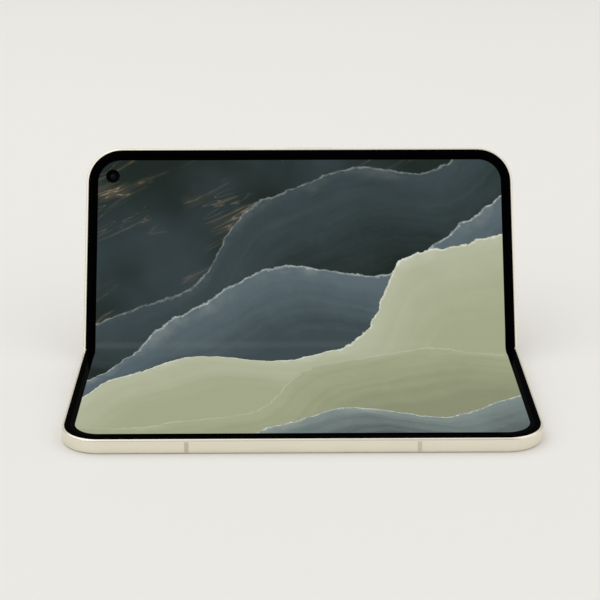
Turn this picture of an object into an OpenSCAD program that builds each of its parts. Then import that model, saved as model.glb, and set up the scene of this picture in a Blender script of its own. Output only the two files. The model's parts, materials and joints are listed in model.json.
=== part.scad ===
/* [Body] */
// Width of the phone along the fold
body_w = 155.2; // [140:0.2:170]
// Length of one half, from the fold line to its outer edge
half_l = 75.1; // [70:0.1:85]
// Thickness of one half
half_t = 5.1; // [4.9:0.1:6.5]
// Radius of the outer corners seen from above
corner_r = 12.8; // [8:0.1:16]
// Width of the metal rim and thickness of the side walls
wall = 1.1; // [1:0.05:1.5]
// Radius of the rim's rounded outer edges
edge_r = 0.7; // [0.3:0.05:0.9]
// Radius that draws the rim in towards the fold
fold_corner_r = 6; // [4:0.5:8]
// Thickness of the middle plate inside each frame
midplate_t = 0.45; // [0.35:0.05:0.6]

/* [Display] */
// Depth of the inner display surface below the top of the soft trim
display_drop = 0.15; // [0.1:0.01:0.2]
// Thickness of the folding display
display_t = 0.35; // [0.25:0.01:0.4]
// Thickness of the steel sheet behind the display
support_t = 0.15; // [0.1:0.01:0.15]
// Width of the soft trim inside the rim
trim_w = 1.6; // [1.2:0.1:2.5]
// How far the soft trim reaches over the metal rim
trim_over = 0.2; // [0.1:0.05:0.3]
// Thickness of the cover glass and the back glass
glass_t = 0.55; // [0.4:0.05:0.7]
// Thickness of the cover display panel
panel_t = 0.55; // [0.4:0.05:0.6]

/* [Fold] */
// Distance of each pivot from the fold line
pivot_u = 1.3; // [1.25:0.01:1.4]
// Gap between the two soft trims when the phone is closed
closed_gap = 0.3; // [0.2:0.02:0.4]
// Turn of each half against the spine in the modelled pose
rest_turn = 29.5; // [0:0.5:60]
// Wall of the spine cover
spine_wall = 0.4; // [0.3:0.05:0.45]
// Running gap between the spine cover and the metal around it
spine_gap = 0.1; // [0.08:0.01:0.15]
// Distance of the wing plate's pivot from the fold line
wing_pivot_u = 7; // [6.9:0.1:7.4]
// Turn of a half for each degree that its wing plate dips
wing_ratio = 6; // [6:1:9]
// Distance of each hinge unit's middle from the phone's middle
unit_x = 48; // [42:1:56]
// Length of a hinge unit along the fold
unit_len = 26; // [25:0.5:30]
// Length of each swing arm along the fold
arm_len = 5.2; // [4:0.1:5.6]
// Length of each gear along the fold
gear_len = 2.4; // [1.6:0.1:3]
// Distance of each ribbon cable from the phone's middle
ribbon_x = 22; // [16:1:26]
// Width of each ribbon cable
ribbon_w = 8; // [4:0.5:10]

/* [Keys] */
// Middle of the power key along the edge
power_x = -23.95; // [-35:0.05:-20]
// Length of the power key
power_len = 13.5; // [9:0.5:15]
// Middle of the volume key along the edge
volume_x = 3.25; // [0:0.05:12]
// Length of the volume key
volume_len = 18.7; // [14:0.1:22]
// Height of both keys across the edge
key_h = 2; // [1.4:0.1:2.2]
// How far a key stands out of the edge
key_proud = 0.35; // [0.2:0.05:0.5]
// Travel of a pressed key
key_travel = 0.25; // [0.15:0.01:0.3]

/* [Cameras] */
// Distance of the inner camera from the left edge
inner_cam_side = 9.65; // [9:0.05:14]
// Distance of the inner camera from the outer edge
inner_cam_edge = 10.55; // [9:0.05:12]
// Radius of the inner camera's window
inner_cam_r = 2.45; // [1.5:0.05:2.6]
// Length of the raised camera island
island_l = 46; // [44:0.5:48]
// Width of the raised camera island
island_w = 22; // [19:0.5:24]
// Height of the camera island above the back
island_h = 2.1; // [1:0.1:3]
// Radius of the island's corners
island_r = 7; // [4:0.5:9]

/* [Sockets and inner parts] */
// Width of the charging socket's mouth
usb_w = 8.4; // [8.3:0.05:8.6]
// Height of the charging socket's mouth
usb_h = 2.6; // [2.5:0.02:2.7]
// Depth of the charging socket
usb_depth = 6.6; // [6:0.1:7.5]
// Width of the card tray
tray_w = 13; // [11:0.5:15]
// Length of the card tray behind its face
tray_len = 15; // [12:0.5:16]
// Width of the plastic breaks in the metal frame
break_w = 1.4; // [0.6:0.1:1.6]
// Thickness of the circuit boards
board_t = 0.8; // [0.6:0.1:0.9]

/* [Hidden] */
$fn = 64;

// Coordinates of a half: x along the fold, u from the fold line to the outer edge, z up from
// the top of the soft trim. The spine uses the same axes, with u negative on the lower side.
half_w = body_w / 2;
inner_x = half_w - wall;
fold_y = half_l / 2;
fit = 0.05;            // gap between pieces that are assembled against each other
slip = 0.04;           // radial gap of a pin in its hole
overlap = 0.5;         // how far joined shapes of one casting run into each other

// Layers from the soft trim downwards
rim_top = -display_drop - fit;
display_z = -display_drop - display_t;
support_z = display_z - support_t;
mid_top = support_z - fit;
mid_bottom = mid_top - midplate_t;
back_z = -half_t;
glass_z = back_z + glass_t;
floor_t = 0.45;
floor_z = glass_z + floor_t;

// Fold
pivot_drop = pivot_u - closed_gap / 2;
fold_edge = 0.1;
lip_t = 0.55;
spine_r = half_t - pivot_drop - lip_t - spine_gap;
spine_in = spine_r - spine_wall;
spine_len = body_w - 2 * wall - 2 * spine_gap;
spine_top = -pivot_drop + 0.3;
lip_u = 5;
pocket_u = 12;
bay_u = pocket_u + 1;
wing_turn = rest_turn / wing_ratio;
wing_top = display_z - fit;
wing_bottom = wing_top - support_t;
wing_pin_r = 0.2;
wing_pin_z = wing_bottom - wing_pin_r / 2;
wing_end_u = 0.8;
wing_half_len = inner_x - 0.2;
groove_u = wing_pivot_u - 0.4;
groove_lip = 0.15;

// Swing arms
arc_gap = 0.05;
arc_in = 1.75;
arc_out = spine_in - 0.35;
arm_bottom = -pivot_drop - 1.1;
arm_foot_u = pocket_u - 0.5;
arm_offset = unit_len / 2 - arm_len / 2 - 0.7;
arm_screw_u = arm_foot_u - 2.2;
slot_dir = -24;
sync_slot_dir = -30;
slot_side = 0.15;
base_top = -pivot_drop - 0.7;

// Gears, module 0.2 and ten teeth, so the pitch radius is 1
gear_module = 0.2;
gear_teeth = 10;
pitch_r = gear_module * gear_teeth / 2;
gear_step = 360 / gear_teeth;
tip_r = pitch_r + 0.8 * gear_module;
root_r = pitch_r - 1.2 * gear_module;
idler_u = pitch_r;
idler_z = -pivot_drop - 1.65;
sync_z = idler_z + 0.6;
sync_u = idler_u + sqrt(4 * pitch_r * pitch_r - 0.36);
mesh_dir = 180 + atan2(0.6, sync_u - idler_u);
gear_pin_r = 0.3;
gear_hub_r = 0.68;
gear_pocket = gear_len + 0.6;
gear_pin_len = gear_pocket / 2 + 2;
tooth_shift = gear_step / 4;

// Inner pieces
board_top = mid_bottom - 1.5;
board_bottom = board_top - board_t;
board_u = bay_u + fit;
board_w = 12;
board_left = 4.6 - half_w;
board_right = half_w - 39.6;
shield_in = 13;
boss_r = 1.3;
boss_u = bay_u + 5.5;
bosses = [[board_left + 5, boss_u], [(board_left + board_right) / 2 + 11.5, boss_u],
    [board_right - 5, boss_u]];
screw_r = 0.5;
screw_head_r = 0.9;
screw_head_t = 0.35;
bay_outer = half_l - wall;
cell_top = mid_bottom - 0.1;
coil_t = 0.25;
coil_r = 19;
coil_hole_r = 9;
cell_u = board_u + board_w + 2.95;
cell_outer_u = half_l - 5;
cell_mid_u = (cell_u + cell_outer_u) / 2;
cell_r = 2;
lower_cell_side = 21.6;
key_z = -half_t / 2;
key_gap = 0.1;
flange_t = 0.4;
flange_h = 0.25;
rock_gap = 0.25;
switch_in = 5;
switch_u = bay_outer - flange_t - key_travel - 0.35;
side_break_u = half_l - corner_r - 1;
break_x = half_w - 40.75;
break_top = rim_top - 0.8;
usb_u = half_l / 2;
usb_z = glass_z + 0.35 + usb_h / 2 + 0.1;
usb_shell = 0.3;
usb_tongue_w = 6.6;
usb_tongue_t = 0.7;
sound_slot_len = 11;
sound_slot_h = 1.1;
sound_u = side_break_u - 8;
mic_r = 0.4;
mic_step = 9;
tray_u = half_l / 2;
tray_z = key_z;
tray_h = 1.3;
tray_gap = 0.1;
haptic_x = half_w - 27.6;
haptic_u = bay_u + 7.5;
haptic_l = 16;
haptic_w = 11;
haptic_wall = 0.3;
cover_cam_x = 9.6 - half_w;
cover_cam_u = (lip_u + half_l) / 2;
cover_cam_r = 1.9;
cover_cam_box = 3;
ear_slot_len = 11;
ear_u = half_l - corner_r - ear_slot_len / 2 - 0.3;
island_x = 7.6 + island_l / 2 - half_w;
island_u = half_l - 23;
lens_wide = [island_l / 2 - 9, 5.6];
lens_tele = [11 - island_l / 2, 4.8];
lens_ultra = [(lens_wide[0] + lens_tele[0]) / 2, 4.8];
lens_sink = 0.3;
island_edge_r = 0.6;
flash_x = island_x - island_l / 2 + 3;
flash_r = 1.5;
board_arm_end = island_x + island_l / 2 + 10;
upper_cell_left = board_arm_end + 1;
upper_cell_right = half_w - 19.6;
upper_cell_x = (upper_cell_left + upper_cell_right) / 2;
inner_cam_x = inner_cam_side - half_w;
inner_cam_u = half_l - inner_cam_edge;
inner_cam_box = 2.7;
magnet_x = half_w - 27.6;

// Where the swing arms stand along the fold
function arm_x(upper, right) =
    (right ? 1 : -1) * (unit_x + (upper ? -1 : 1) * arm_offset);

// A point of the upper half, given in that half, as seen from the turned spine
function in_spine_u(u, z) =
    pivot_u + (u - pivot_u) * cos(rest_turn) - (z + pivot_drop) * sin(rest_turn);
function in_spine_z(u, z) =
    -pivot_drop + (u - pivot_u) * sin(rest_turn) + (z + pivot_drop) * cos(rest_turn);

// ---------------------------------------------------------------- placing

// Turns its children about a line along x at u, at the height of the pivots
module turn_at(u, z, angle) {
    translate([0, u, z])
        rotate([angle, 0, 0])
            translate([0, -u, -z])
                children();
}

module in_spine() {
    translate([0, fold_y, half_t])
        turn_at(-pivot_u, -pivot_drop, rest_turn)
            children();
}

module in_lower() {
    translate([0, fold_y, half_t])
        mirror([0, 1, 0])
            children();
}

module in_upper() {
    in_spine()
        turn_at(pivot_u, -pivot_drop, rest_turn)
            children();
}

// Places a hinge part of either side of the spine, turned about its own line
module on_side(upper, u, z, angle) {
    in_spine()
        mirror([0, upper ? 0 : 1, 0])
            turn_at(u, z, angle)
                children();
}

// Extrudes a shape drawn in u and z along the fold
module along_fold(x0, x1) {
    translate([x0, 0, 0])
        rotate([90, 0, 90])
            linear_extrude(x1 - x0)
                children();
}

module block(x0, x1, u0, u1, z0, z1) {
    translate([x0, u0, z0])
        cube([x1 - x0, u1 - u0, z1 - z0]);
}

module rod(r, x0, x1, u, z) {
    translate([x0, u, z])
        rotate([0, 90, 0])
            cylinder(h = x1 - x0, r = r);
}

module post(r, x, u, z0, z1) {
    translate([x, u, z0])
        cylinder(h = z1 - z0, r = r);
}

module both_sides() {
    for (side = [0, 1])
        mirror([side, 0, 0])
            children();
}

// ---------------------------------------------------------------- shared shapes

// Outline of a half, drawn in by inset, from u_start outwards
module half_outline(inset, u_start) {
    r = corner_r - inset;
    translate([-half_w + inset, u_start])
        square([body_w - 2 * inset, half_l - corner_r - u_start]);
    translate([corner_r - half_w, u_start])
        square([body_w - 2 * corner_r, half_l - inset - u_start]);
    for (side = [-1, 1])
        translate([side * (half_w - corner_r), half_l - corner_r])
            circle(r);
}

module layer(inset, u_start, z0, z1) {
    translate([0, 0, z0])
        linear_extrude(z1 - z0)
            half_outline(inset, u_start);
}

// A rectangle with round corners about the point x, u
module round_plate(x, u, l, w, r, z0, z1) {
    translate([x, u, z0])
        linear_extrude(z1 - z0) {
            square([l - 2 * r, w], center = true);
            square([l, w - 2 * r], center = true);
            for (sx = [-1, 1], su = [-1, 1])
                translate([sx * (l / 2 - r), su * (w / 2 - r)])
                    circle(r);
        }
}

// Section of a plate's edge: r wide, h high, with its lower outer edge rounded by e
module soft_section(r, h, e) {
    translate([0, e])
        square([r, h - e]);
    square([r - e, h]);
    translate([r - e, e])
        circle(e);
}

// A plate with round corners whose lower edge is rounded by e
module soft_plate(x, u, l, w, r, z0, z1, e) {
    translate([x, u, z0]) {
        translate([r - l / 2, r - w / 2, 0])
            cube([l - 2 * r, w - 2 * r, z1 - z0]);
        for (side = [0:3]) {
            out = (side % 2 == 0 ? l : w) / 2 - r;
            run = (side % 2 == 0 ? w : l) - 2 * r;
            rotate([0, 0, 90 * side])
                translate([out, run / 2, 0]) {
                    rotate([90, 0, 0])
                        linear_extrude(run)
                            soft_section(r, z1 - z0, e);
                    rotate_extrude(angle = 90)
                        soft_section(r, z1 - z0, e);
                }
        }
    }
}

// A slot with round ends, through the outer edge, from u0 to u1
module edge_slot(x, z, l, h, u0, u1) {
    translate([x, u1, z])
        rotate([90, 0, 0])
            linear_extrude(u1 - u0) {
                square([l - h, h], center = true);
                for (side = [-1, 1])
                    translate([side * (l - h) / 2, 0])
                        circle(h / 2);
            }
}

// A slot with round ends, through a side wall, from x0 to x1
module side_slot(u, z, l, h, x0, x1) {
    translate([x0, u, z])
        rotate([90, 0, 90])
            linear_extrude(x1 - x0) {
                square([l - h, h], center = true);
                for (side = [-1, 1])
                    translate([side * (l - h) / 2, 0])
                        circle(h / 2);
            }
}

// Section of the metal rim: outward distance from the edge, then height
module rim_section() {
    rim_h = rim_top - back_z;
    intersection() {
        translate([-wall, back_z])
            square([wall, rim_h]);
        union() {
            translate([-wall - edge_r, back_z])
                square([wall, rim_h]);
            translate([-wall, back_z + edge_r])
                square([wall, rim_h - 2 * edge_r]);
            for (z = [rim_top - edge_r, back_z + edge_r])
                translate([-edge_r, z])
                    circle(edge_r);
        }
    }
}

module rim_wall() {
    along_fold(corner_r - half_w, half_w - corner_r)
        translate([half_l, 0])
            rim_section();
    both_sides() {
        translate([half_w, half_l - corner_r, 0])
            rotate([90, 0, 0])
                linear_extrude(half_l - corner_r - fold_edge)
                    rim_section();
        translate([half_w - corner_r, half_l - corner_r, 0])
            rotate_extrude(angle = 90)
                translate([corner_r, 0])
                    rim_section();
    }
}

// Everything that the other half and the fold need free
module fold_clearance() {
    along_fold(-half_w - 1, half_w + 1)
        difference() {
            translate([-1, -pivot_drop])
                square([pivot_u + 1, half_t]);
            translate([pivot_u, -pivot_drop])
                circle(pivot_u - fold_edge / 2);
        }
    both_sides()
        difference() {
            block(half_w - fold_corner_r, half_w + 1, -1, fold_corner_r / 2, back_z - 1, 1);
            post(fold_corner_r, half_w - fold_corner_r, fold_corner_r / 2, back_z - 2, 2);
        }
}

// Section of the strip that covers the spine and carries the glass
module lip_section() {
    polygon([[fold_edge, back_z], [lip_u, back_z], [lip_u, glass_z], [bay_u, glass_z],
        [bay_u, floor_z], [lip_u - 1.4, floor_z], [lip_u - 1.4, back_z + lip_t],
        [fold_edge, back_z + lip_t]]);
}

module wing_groove() {
    rod(wing_pin_r + fit, -inner_x, inner_x, wing_pivot_u, wing_pin_z);
    block(-inner_x, inner_x, wing_pivot_u - wing_pin_r - fit,
        wing_pivot_u + wing_pin_r + fit, wing_pin_z, 0);
    block(-inner_x, inner_x, groove_u - 1, wing_pivot_u, wing_pin_z - groove_lip, 0);
}

// Screw holes of one half's two swing arms
module arm_holes(upper) {
    for (right = [false, true], dx = [-arm_len / 4, arm_len / 4])
        post(screw_r + fit, arm_x(upper, right) + dx, arm_screw_u, arm_bottom - 1, mid_top + 1);
}

module half_casting(upper) {
    difference() {
        union() {
            rim_wall();
            layer(wall - overlap, groove_u, mid_bottom, mid_top);
            along_fold(-inner_x - overlap, inner_x + overlap) {
                lip_section();
                translate([pocket_u, glass_z])
                    square([bay_u - pocket_u, mid_top - glass_z]);
            }
            for (boss = bosses)
                post(boss_r, boss[0], boss[1], board_top, mid_bottom + fit);
        }
        fold_clearance();
        wing_groove();
        both_sides()
            block(ribbon_x - ribbon_w / 2 - 0.3, ribbon_x + ribbon_w / 2 + 0.3,
                pocket_u - 1, bay_u + 1, board_top - 0.3, board_top + 0.6);
        for (boss = bosses)
            post(screw_r + fit, boss[0], boss[1], board_top - 1, mid_bottom - fit);
        arm_holes(upper);
        side_break_cuts();
    }
}

module screw(x, u, z_head, z_end) {
    post(screw_r, x, u, z_head - fit, z_end);
    post(screw_head_r, x, u, z_head - screw_head_t, z_head);
}

// Screws of the swing arms and of the board of one half
module half_screws(upper) {
    for (right = [false, true], dx = [-arm_len / 4, arm_len / 4])
        screw(arm_x(upper, right) + dx, arm_screw_u, arm_bottom, mid_top - fit);
    for (boss = bosses)
        screw(boss[0], boss[1], board_bottom, mid_bottom - 2 * fit);
}

module side_break_cuts() {
    both_sides()
        block(inner_x, half_w + 1, side_break_u - break_w / 2, side_break_u + break_w / 2,
            back_z - 1, break_top);
}

module edge_break_cut(x) {
    block(x - break_w / 2, x + break_w / 2, bay_outer, half_l + 1, back_z - 1, break_top);
}

module bezel_trim() {
    difference() {
        layer(wall - trim_over, pivot_u - 0.4, -display_drop, 0);
        layer(wall + trim_w, -1, -1, 1);
    }
}

module board_holes() {
    for (boss = bosses)
        post(screw_r + fit, boss[0], boss[1], board_bottom - 1, board_top + 1);
}

module magnets() {
    both_sides()
        block(magnet_x - 6, magnet_x + 6, bay_outer - 3, bay_outer - 0.4,
            mid_bottom - 2.2, mid_bottom);
}

// ---------------------------------------------------------------- lower half

module lower_frame() {
    color("tan")
        in_lower()
            difference() {
                half_casting(false);
                edge_break_cut(-break_x);
                edge_break_cut(break_x);
                side_slot(tray_u, tray_z, tray_w + 2 * tray_gap + 1, tray_h + 2 * tray_gap + 0.4,
                    inner_x - overlap, half_w + 1);
                rod(mic_r, inner_x - overlap, half_w + 1, tray_u - tray_w / 2 - 3, tray_z);
            }
}

module lower_support_sheet() {
    color("gray")
        in_lower()
            layer(wall + fit, wing_pivot_u + 0.5, support_z, display_z);
}

module lower_bezel_trim() {
    color("black")
        in_lower()
            bezel_trim();
}

module inner_display_lower() {
    color("darkolivegreen")
        in_lower()
            layer(wall + fit, wing_pivot_u, display_z, -display_drop);
}

module cover_glass() {
    color("black")
        in_lower()
            difference() {
                layer(wall + fit, lip_u + fit, back_z, glass_z);
                // earpiece slot beside the frame
                round_plate(fit - inner_x + 0.6, ear_u, 0.6, ear_slot_len, 0.29,
                    back_z - 1, glass_z + 1);
            }
}

module cover_display_panel() {
    color("dimgray")
        in_lower()
            difference() {
                layer(wall + 1.2, bay_u + fit, glass_z, glass_z + panel_t);
                post(cover_cam_r + fit, cover_cam_x, cover_cam_u, back_z, 0);
            }
}

module cover_camera() {
    color("dimgray")
        in_lower() {
            post(cover_cam_r, cover_cam_x, cover_cam_u, glass_z, cell_top - 1);
            block(cover_cam_x - cover_cam_box, cover_cam_x + cover_cam_box,
                cover_cam_u - cover_cam_box, cover_cam_u + cover_cam_box,
                glass_z + panel_t + fit, cell_top);
        }
}

module lower_battery() {
    color("silver")
        in_lower()
            round_plate(0, cell_mid_u, body_w - 2 * lower_cell_side, cell_outer_u - cell_u,
                cell_r, glass_z + panel_t + fit, cell_top);
}

module lower_board() {
    color("darkgreen")
        in_lower()
            difference() {
                block(board_left, board_right, board_u, board_u + board_w, board_bottom,
                    board_top);
                board_holes();
            }
}

module card_reader() {
    color("silver")
        in_lower()
            difference() {
                block(inner_x - tray_len - 1, inner_x - fit, tray_u - tray_w / 2 - 1,
                    tray_u + tray_w / 2 + 1, tray_z - tray_h / 2 - 0.5, mid_bottom);
                block(inner_x - tray_len - 0.3, inner_x + 1, tray_u - tray_w / 2 - tray_gap,
                    tray_u + tray_w / 2 + tray_gap, tray_z - tray_h / 2 - tray_gap,
                    tray_z + tray_h / 2 + tray_gap);
            }
}

module card_tray() {
    color("tan")
        in_lower()
            difference() {
                union() {
                    side_slot(tray_u, tray_z, tray_w + 1, tray_h + 0.4, inner_x + 0.3, half_w);
                    block(inner_x - tray_len, inner_x + 0.5, tray_u - tray_w / 2,
                        tray_u + tray_w / 2, tray_z - tray_h / 2, tray_z + tray_h / 2);
                }
                // recess for the card
                block(inner_x - tray_len + 1, inner_x - 1, tray_u - tray_w / 2 + 0.8,
                    tray_u + tray_w / 2 - 0.8, tray_z - tray_h / 2 + 0.4, 0);
            }
}

module earpiece_speaker() {
    color("dimgray")
        in_lower()
            round_plate(5.5 - inner_x, ear_u, 9, ear_slot_len + 3, 1, glass_z + panel_t + fit,
                cell_top);
}

// The motor's block, drawn in by inset on every side
module haptic_block(inset) {
    block(haptic_x - haptic_l / 2 + inset, haptic_x + haptic_l / 2 - inset,
        haptic_u - haptic_w / 2 + inset, haptic_u + haptic_w / 2 - inset,
        glass_z + panel_t + fit + inset, mid_bottom - fit - inset);
}

module haptic_motor_case() {
    color("silver")
        in_lower()
            difference() {
                haptic_block(0);
                haptic_block(haptic_wall);
            }
}

module haptic_motor_mass() {
    color("gray")
        in_lower()
            intersection() {
                haptic_block(haptic_wall + 0.1);
                block(haptic_x - haptic_l / 2 + 1, haptic_x + haptic_l / 2 - 1,
                    haptic_u - haptic_w, haptic_u + haptic_w, back_z, 0);
            }
}

module lower_antenna_breaks() {
    color("rosybrown")
        in_lower()
            intersection() {
                rim_wall();
                union() {
                    edge_break_cut(-break_x);
                    edge_break_cut(break_x);
                    side_break_cuts();
                }
            }
}

module lower_magnets() {
    color("gray")
        in_lower()
            magnets();
}

module lower_screws() {
    color("silver")
        in_lower()
            half_screws(false);
}

// ---------------------------------------------------------------- upper half

module upper_frame() {
    color("tan")
        in_upper()
            difference() {
                half_casting(true);
                edge_break_cut(break_x);
                post(inner_cam_r + fit, inner_cam_x, inner_cam_u, board_top, 1);
                edge_slot(power_x, key_z, power_len + 2 * key_gap, key_h + 2 * key_gap,
                    bay_outer - overlap, half_l + 1);
                edge_slot(volume_x, key_z, volume_len + 2 * key_gap, key_h + 2 * key_gap,
                    bay_outer - overlap, half_l + 1);
                side_slot(usb_u, usb_z, usb_w, usb_h, inner_x - overlap, half_w + 1);
                side_slot(sound_u, usb_z, sound_slot_len, sound_slot_h, inner_x - overlap,
                    half_w + 1);
                rod(mic_r, inner_x - overlap, half_w + 1, usb_u - mic_step, usb_z);
                rod(mic_r, -half_w - 1, overlap - inner_x, usb_u, usb_z);
            }
}

module upper_support_sheet() {
    color("gray")
        in_upper()
            difference() {
                layer(wall + fit, wing_pivot_u + 0.5, support_z, display_z);
                post(inner_cam_r + fit, inner_cam_x, inner_cam_u, -1, 0);
            }
}

module upper_bezel_trim() {
    color("black")
        in_upper()
            bezel_trim();
}

module inner_display_upper() {
    color("darkolivegreen")
        in_upper()
            difference() {
                layer(wall + fit, wing_pivot_u, display_z, -display_drop);
                post(inner_cam_r + fit, inner_cam_x, inner_cam_u, -1, 0);
            }
}

module back_glass() {
    color("wheat")
        in_upper()
            difference() {
                layer(wall + fit, lip_u + fit, back_z, glass_z);
                round_plate(island_x, island_u, island_l + 2 * fit, island_w + 2 * fit,
                    island_r + fit, back_z - 1, 0);
            }
}

module camera_island() {
    color("tan")
        in_upper()
            difference() {
                soft_plate(island_x, island_u, island_l, island_w, island_r,
                    back_z - island_h, glass_z, island_edge_r);
                for (eye = [lens_wide, lens_ultra, lens_tele])
                    post(eye[1] + fit, island_x + eye[0], island_u, 2 * back_z, 0);
                post(flash_r + fit, flash_x, island_u, 2 * back_z, 0);
            }
}

// A camera: round barrel in the island and square sensor block behind it
module rear_camera(eye) {
    x = island_x + eye[0];
    post(eye[1], x, island_u, back_z - island_h + lens_sink, glass_z + 1);
    block(x - eye[1], x + eye[1], island_u - eye[1], island_u + eye[1],
        glass_z + fit, cell_top);
}

module wide_camera() {
    color("dimgray")
        in_upper()
            rear_camera(lens_wide);
}

module ultrawide_camera() {
    color("dimgray")
        in_upper()
            rear_camera(lens_ultra);
}

module tele_camera() {
    color("dimgray")
        in_upper()
            rear_camera(lens_tele);
}

module flash_lamp() {
    color("white")
        in_upper()
            post(flash_r, flash_x, island_u, back_z - island_h + lens_sink, glass_z + 0.8);
}

module inner_camera() {
    color("black")
        in_upper() {
            post(inner_cam_r, inner_cam_x, inner_cam_u, mid_bottom - 1, -display_drop);
            block(inner_cam_x - inner_cam_box, inner_cam_x + inner_cam_box,
                inner_cam_u - inner_cam_box, inner_cam_u + inner_cam_box,
                mid_bottom - 3, mid_bottom - fit);
        }
}

module main_board() {
    color("darkgreen")
        in_upper()
            difference() {
                union() {
                    block(board_left, board_right, board_u, board_u + board_w, board_bottom,
                        board_top);
                    block(board_left, board_arm_end, board_u + board_w - overlap,
                        board_u + 2 * board_w, board_bottom, board_top);
                }
                board_holes();
            }
}

module board_shield() {
    color("silver")
        in_upper()
            block(board_left + shield_in, board_arm_end - 2, boss_u + boss_r + fit,
                board_u + 2 * board_w - 1, glass_z + 2 * fit, board_bottom);
}

module upper_battery() {
    color("silver")
        in_upper()
            round_plate(upper_cell_x, cell_mid_u, upper_cell_right - upper_cell_left,
                cell_outer_u - cell_u, cell_r, glass_z + coil_t + fit, cell_top);
}

module charging_coil() {
    color("peru")
        in_upper()
            difference() {
                post(coil_r, upper_cell_x, cell_mid_u, glass_z, glass_z + coil_t);
                post(coil_hole_r, upper_cell_x, cell_mid_u, back_z, 0);
            }
}

module charging_socket() {
    back = inner_x - fit - usb_depth;
    color("silver")
        in_upper() {
            difference() {
                side_slot(usb_u, usb_z, usb_w + 2 * usb_shell, usb_h + 2 * usb_shell,
                    back, inner_x - fit);
                side_slot(usb_u, usb_z, usb_w, usb_h, back + 0.5, inner_x + 1);
            }
            block(back + 0.2, inner_x - 0.8, usb_u - usb_tongue_w / 2,
                usb_u + usb_tongue_w / 2, usb_z - usb_tongue_t / 2, usb_z + usb_tongue_t / 2);
        }
}

module loudspeaker() {
    color("dimgray")
        in_upper()
            round_plate(inner_x - 8.5, sound_u, 14, sound_slot_len + 4, 1.5, glass_z + fit,
                cell_top);
}

// A key: cap that passes through the edge and flange that keeps it in
module side_key(x, len, gap) {
    edge_slot(x, key_z, len, key_h, bay_outer - gap - flange_t / 2, half_l + key_proud);
    edge_slot(x, key_z, len + 2 * flange_h, key_h + 2 * flange_h,
        bay_outer - gap - flange_t, bay_outer - gap);
}

module power_key() {
    color("tan")
        in_upper()
            side_key(power_x, power_len, fit);
}

module volume_key() {
    color("tan")
        in_upper()
            side_key(volume_x, volume_len, rock_gap);
}

module key_dome(x, tall) {
    translate([x, switch_u - fit, key_z])
        rotate([-90, 0, 0])
            cylinder(h = tall + fit, r = 0.8);
}

module side_key_switches() {
    color("goldenrod")
        in_upper() {
            block(power_x - switch_in, volume_x + volume_len / 2, switch_u - 0.3, switch_u,
                key_z - 1, mid_bottom);
            key_dome(power_x, 0.25);
            for (side = [-1, 1])
                key_dome(volume_x + side * volume_len / 3, 0.1);
        }
}

module upper_antenna_breaks() {
    color("rosybrown")
        in_upper()
            intersection() {
                rim_wall();
                union() {
                    edge_break_cut(break_x);
                    side_break_cuts();
                }
            }
}

module upper_magnets() {
    color("gray")
        in_upper()
            magnets();
}

module upper_screws() {
    color("silver")
        in_upper()
            half_screws(true);
}

// ---------------------------------------------------------------- spine and hinge units

module spine_section(r, top) {
    intersection() {
        union() {
            for (side = [-1, 1])
                translate([side * pivot_u, -pivot_drop])
                    circle(r);
            translate([-pivot_u, -pivot_drop - r])
                square([2 * pivot_u, 2 * r]);
        }
        translate([-half_t * 2, -half_t * 2])
            square([half_t * 4, half_t * 2 + top]);
    }
}

// Everything above a line that leaves the pivot at the angle dir
module open_wedge(dir) {
    reach = 3 * half_t;
    translate([pivot_u, -pivot_drop])
        polygon([[0, 0], [reach * cos(dir), reach * sin(dir)], [reach, reach], [0, reach]]);
}

module side_opening(upper, dir, x, half_len) {
    mirror([0, upper ? 0 : 1, 0])
        along_fold(x - half_len, x + half_len)
            open_wedge(dir);
}

module spine_cover() {
    color("tan")
        in_spine()
            difference() {
                along_fold(-spine_len / 2, spine_len / 2)
                    spine_section(spine_r, spine_top);
                along_fold(0.6 - spine_len / 2, spine_len / 2 - 0.6)
                    spine_section(spine_in, 1);
                // the end walls stay below the dipping display
                block(-half_w, half_w, -spine_in, spine_in, base_top, 1);
                for (upper = [false, true]) {
                    for (right = [false, true])
                        side_opening(upper, slot_dir, arm_x(upper, right),
                            arm_len / 2 + slot_side);
                    for (side = [-1, 1]) {
                        side_opening(upper, sync_slot_dir, side * unit_x,
                            gear_len / 2 + slot_side);
                        side_opening(upper, slot_dir, side * ribbon_x,
                            ribbon_w / 2 + slot_side);
                    }
                }
            }
}

module pivot_sector(r0, r1, dir0, dir1) {
    steps = 24;
    translate([pivot_u, -pivot_drop])
        polygon(concat(
            [for (i = [0:steps]) let (d = dir0 + (dir1 - dir0) * i / steps) r1 * [cos(d), sin(d)]],
            [for (i = [0:steps]) let (d = dir1 + (dir0 - dir1) * i / steps) r0 * [cos(d), sin(d)]]));
}

// Room that a swing arm sweeps in the base, around its pivot
module arm_room(upper, x) {
    mirror([0, upper ? 0 : 1, 0])
        along_fold(x - arm_len / 2 - slot_side, x + arm_len / 2 + slot_side) {
            difference() {
                translate([pivot_u, -pivot_drop])
                    circle(arc_out + arc_gap);
                translate([pivot_u, -pivot_drop])
                    circle(arc_in - arc_gap);
            }
            open_wedge(slot_dir - 4);
        }
}

// Room for the gears of both sides
module gear_room(x) {
    half = gear_pocket / 2;
    for (side = [-1, 1]) {
        rod(tip_r + 0.1, x - half, x + half, side * idler_u, idler_z);
        rod(tip_r + 0.1, x - half, x + half, side * sync_u, sync_z);
    }
    block(x - half, x + half, -half_t, half_t, sync_z, 0);
}

module pin_rods(x, r, half_len) {
    for (side = [-1, 1]) {
        rod(r, x - half_len, x + half_len, side * idler_u, idler_z);
        rod(r, x - half_len, x + half_len, side * sync_u, sync_z);
    }
}

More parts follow.
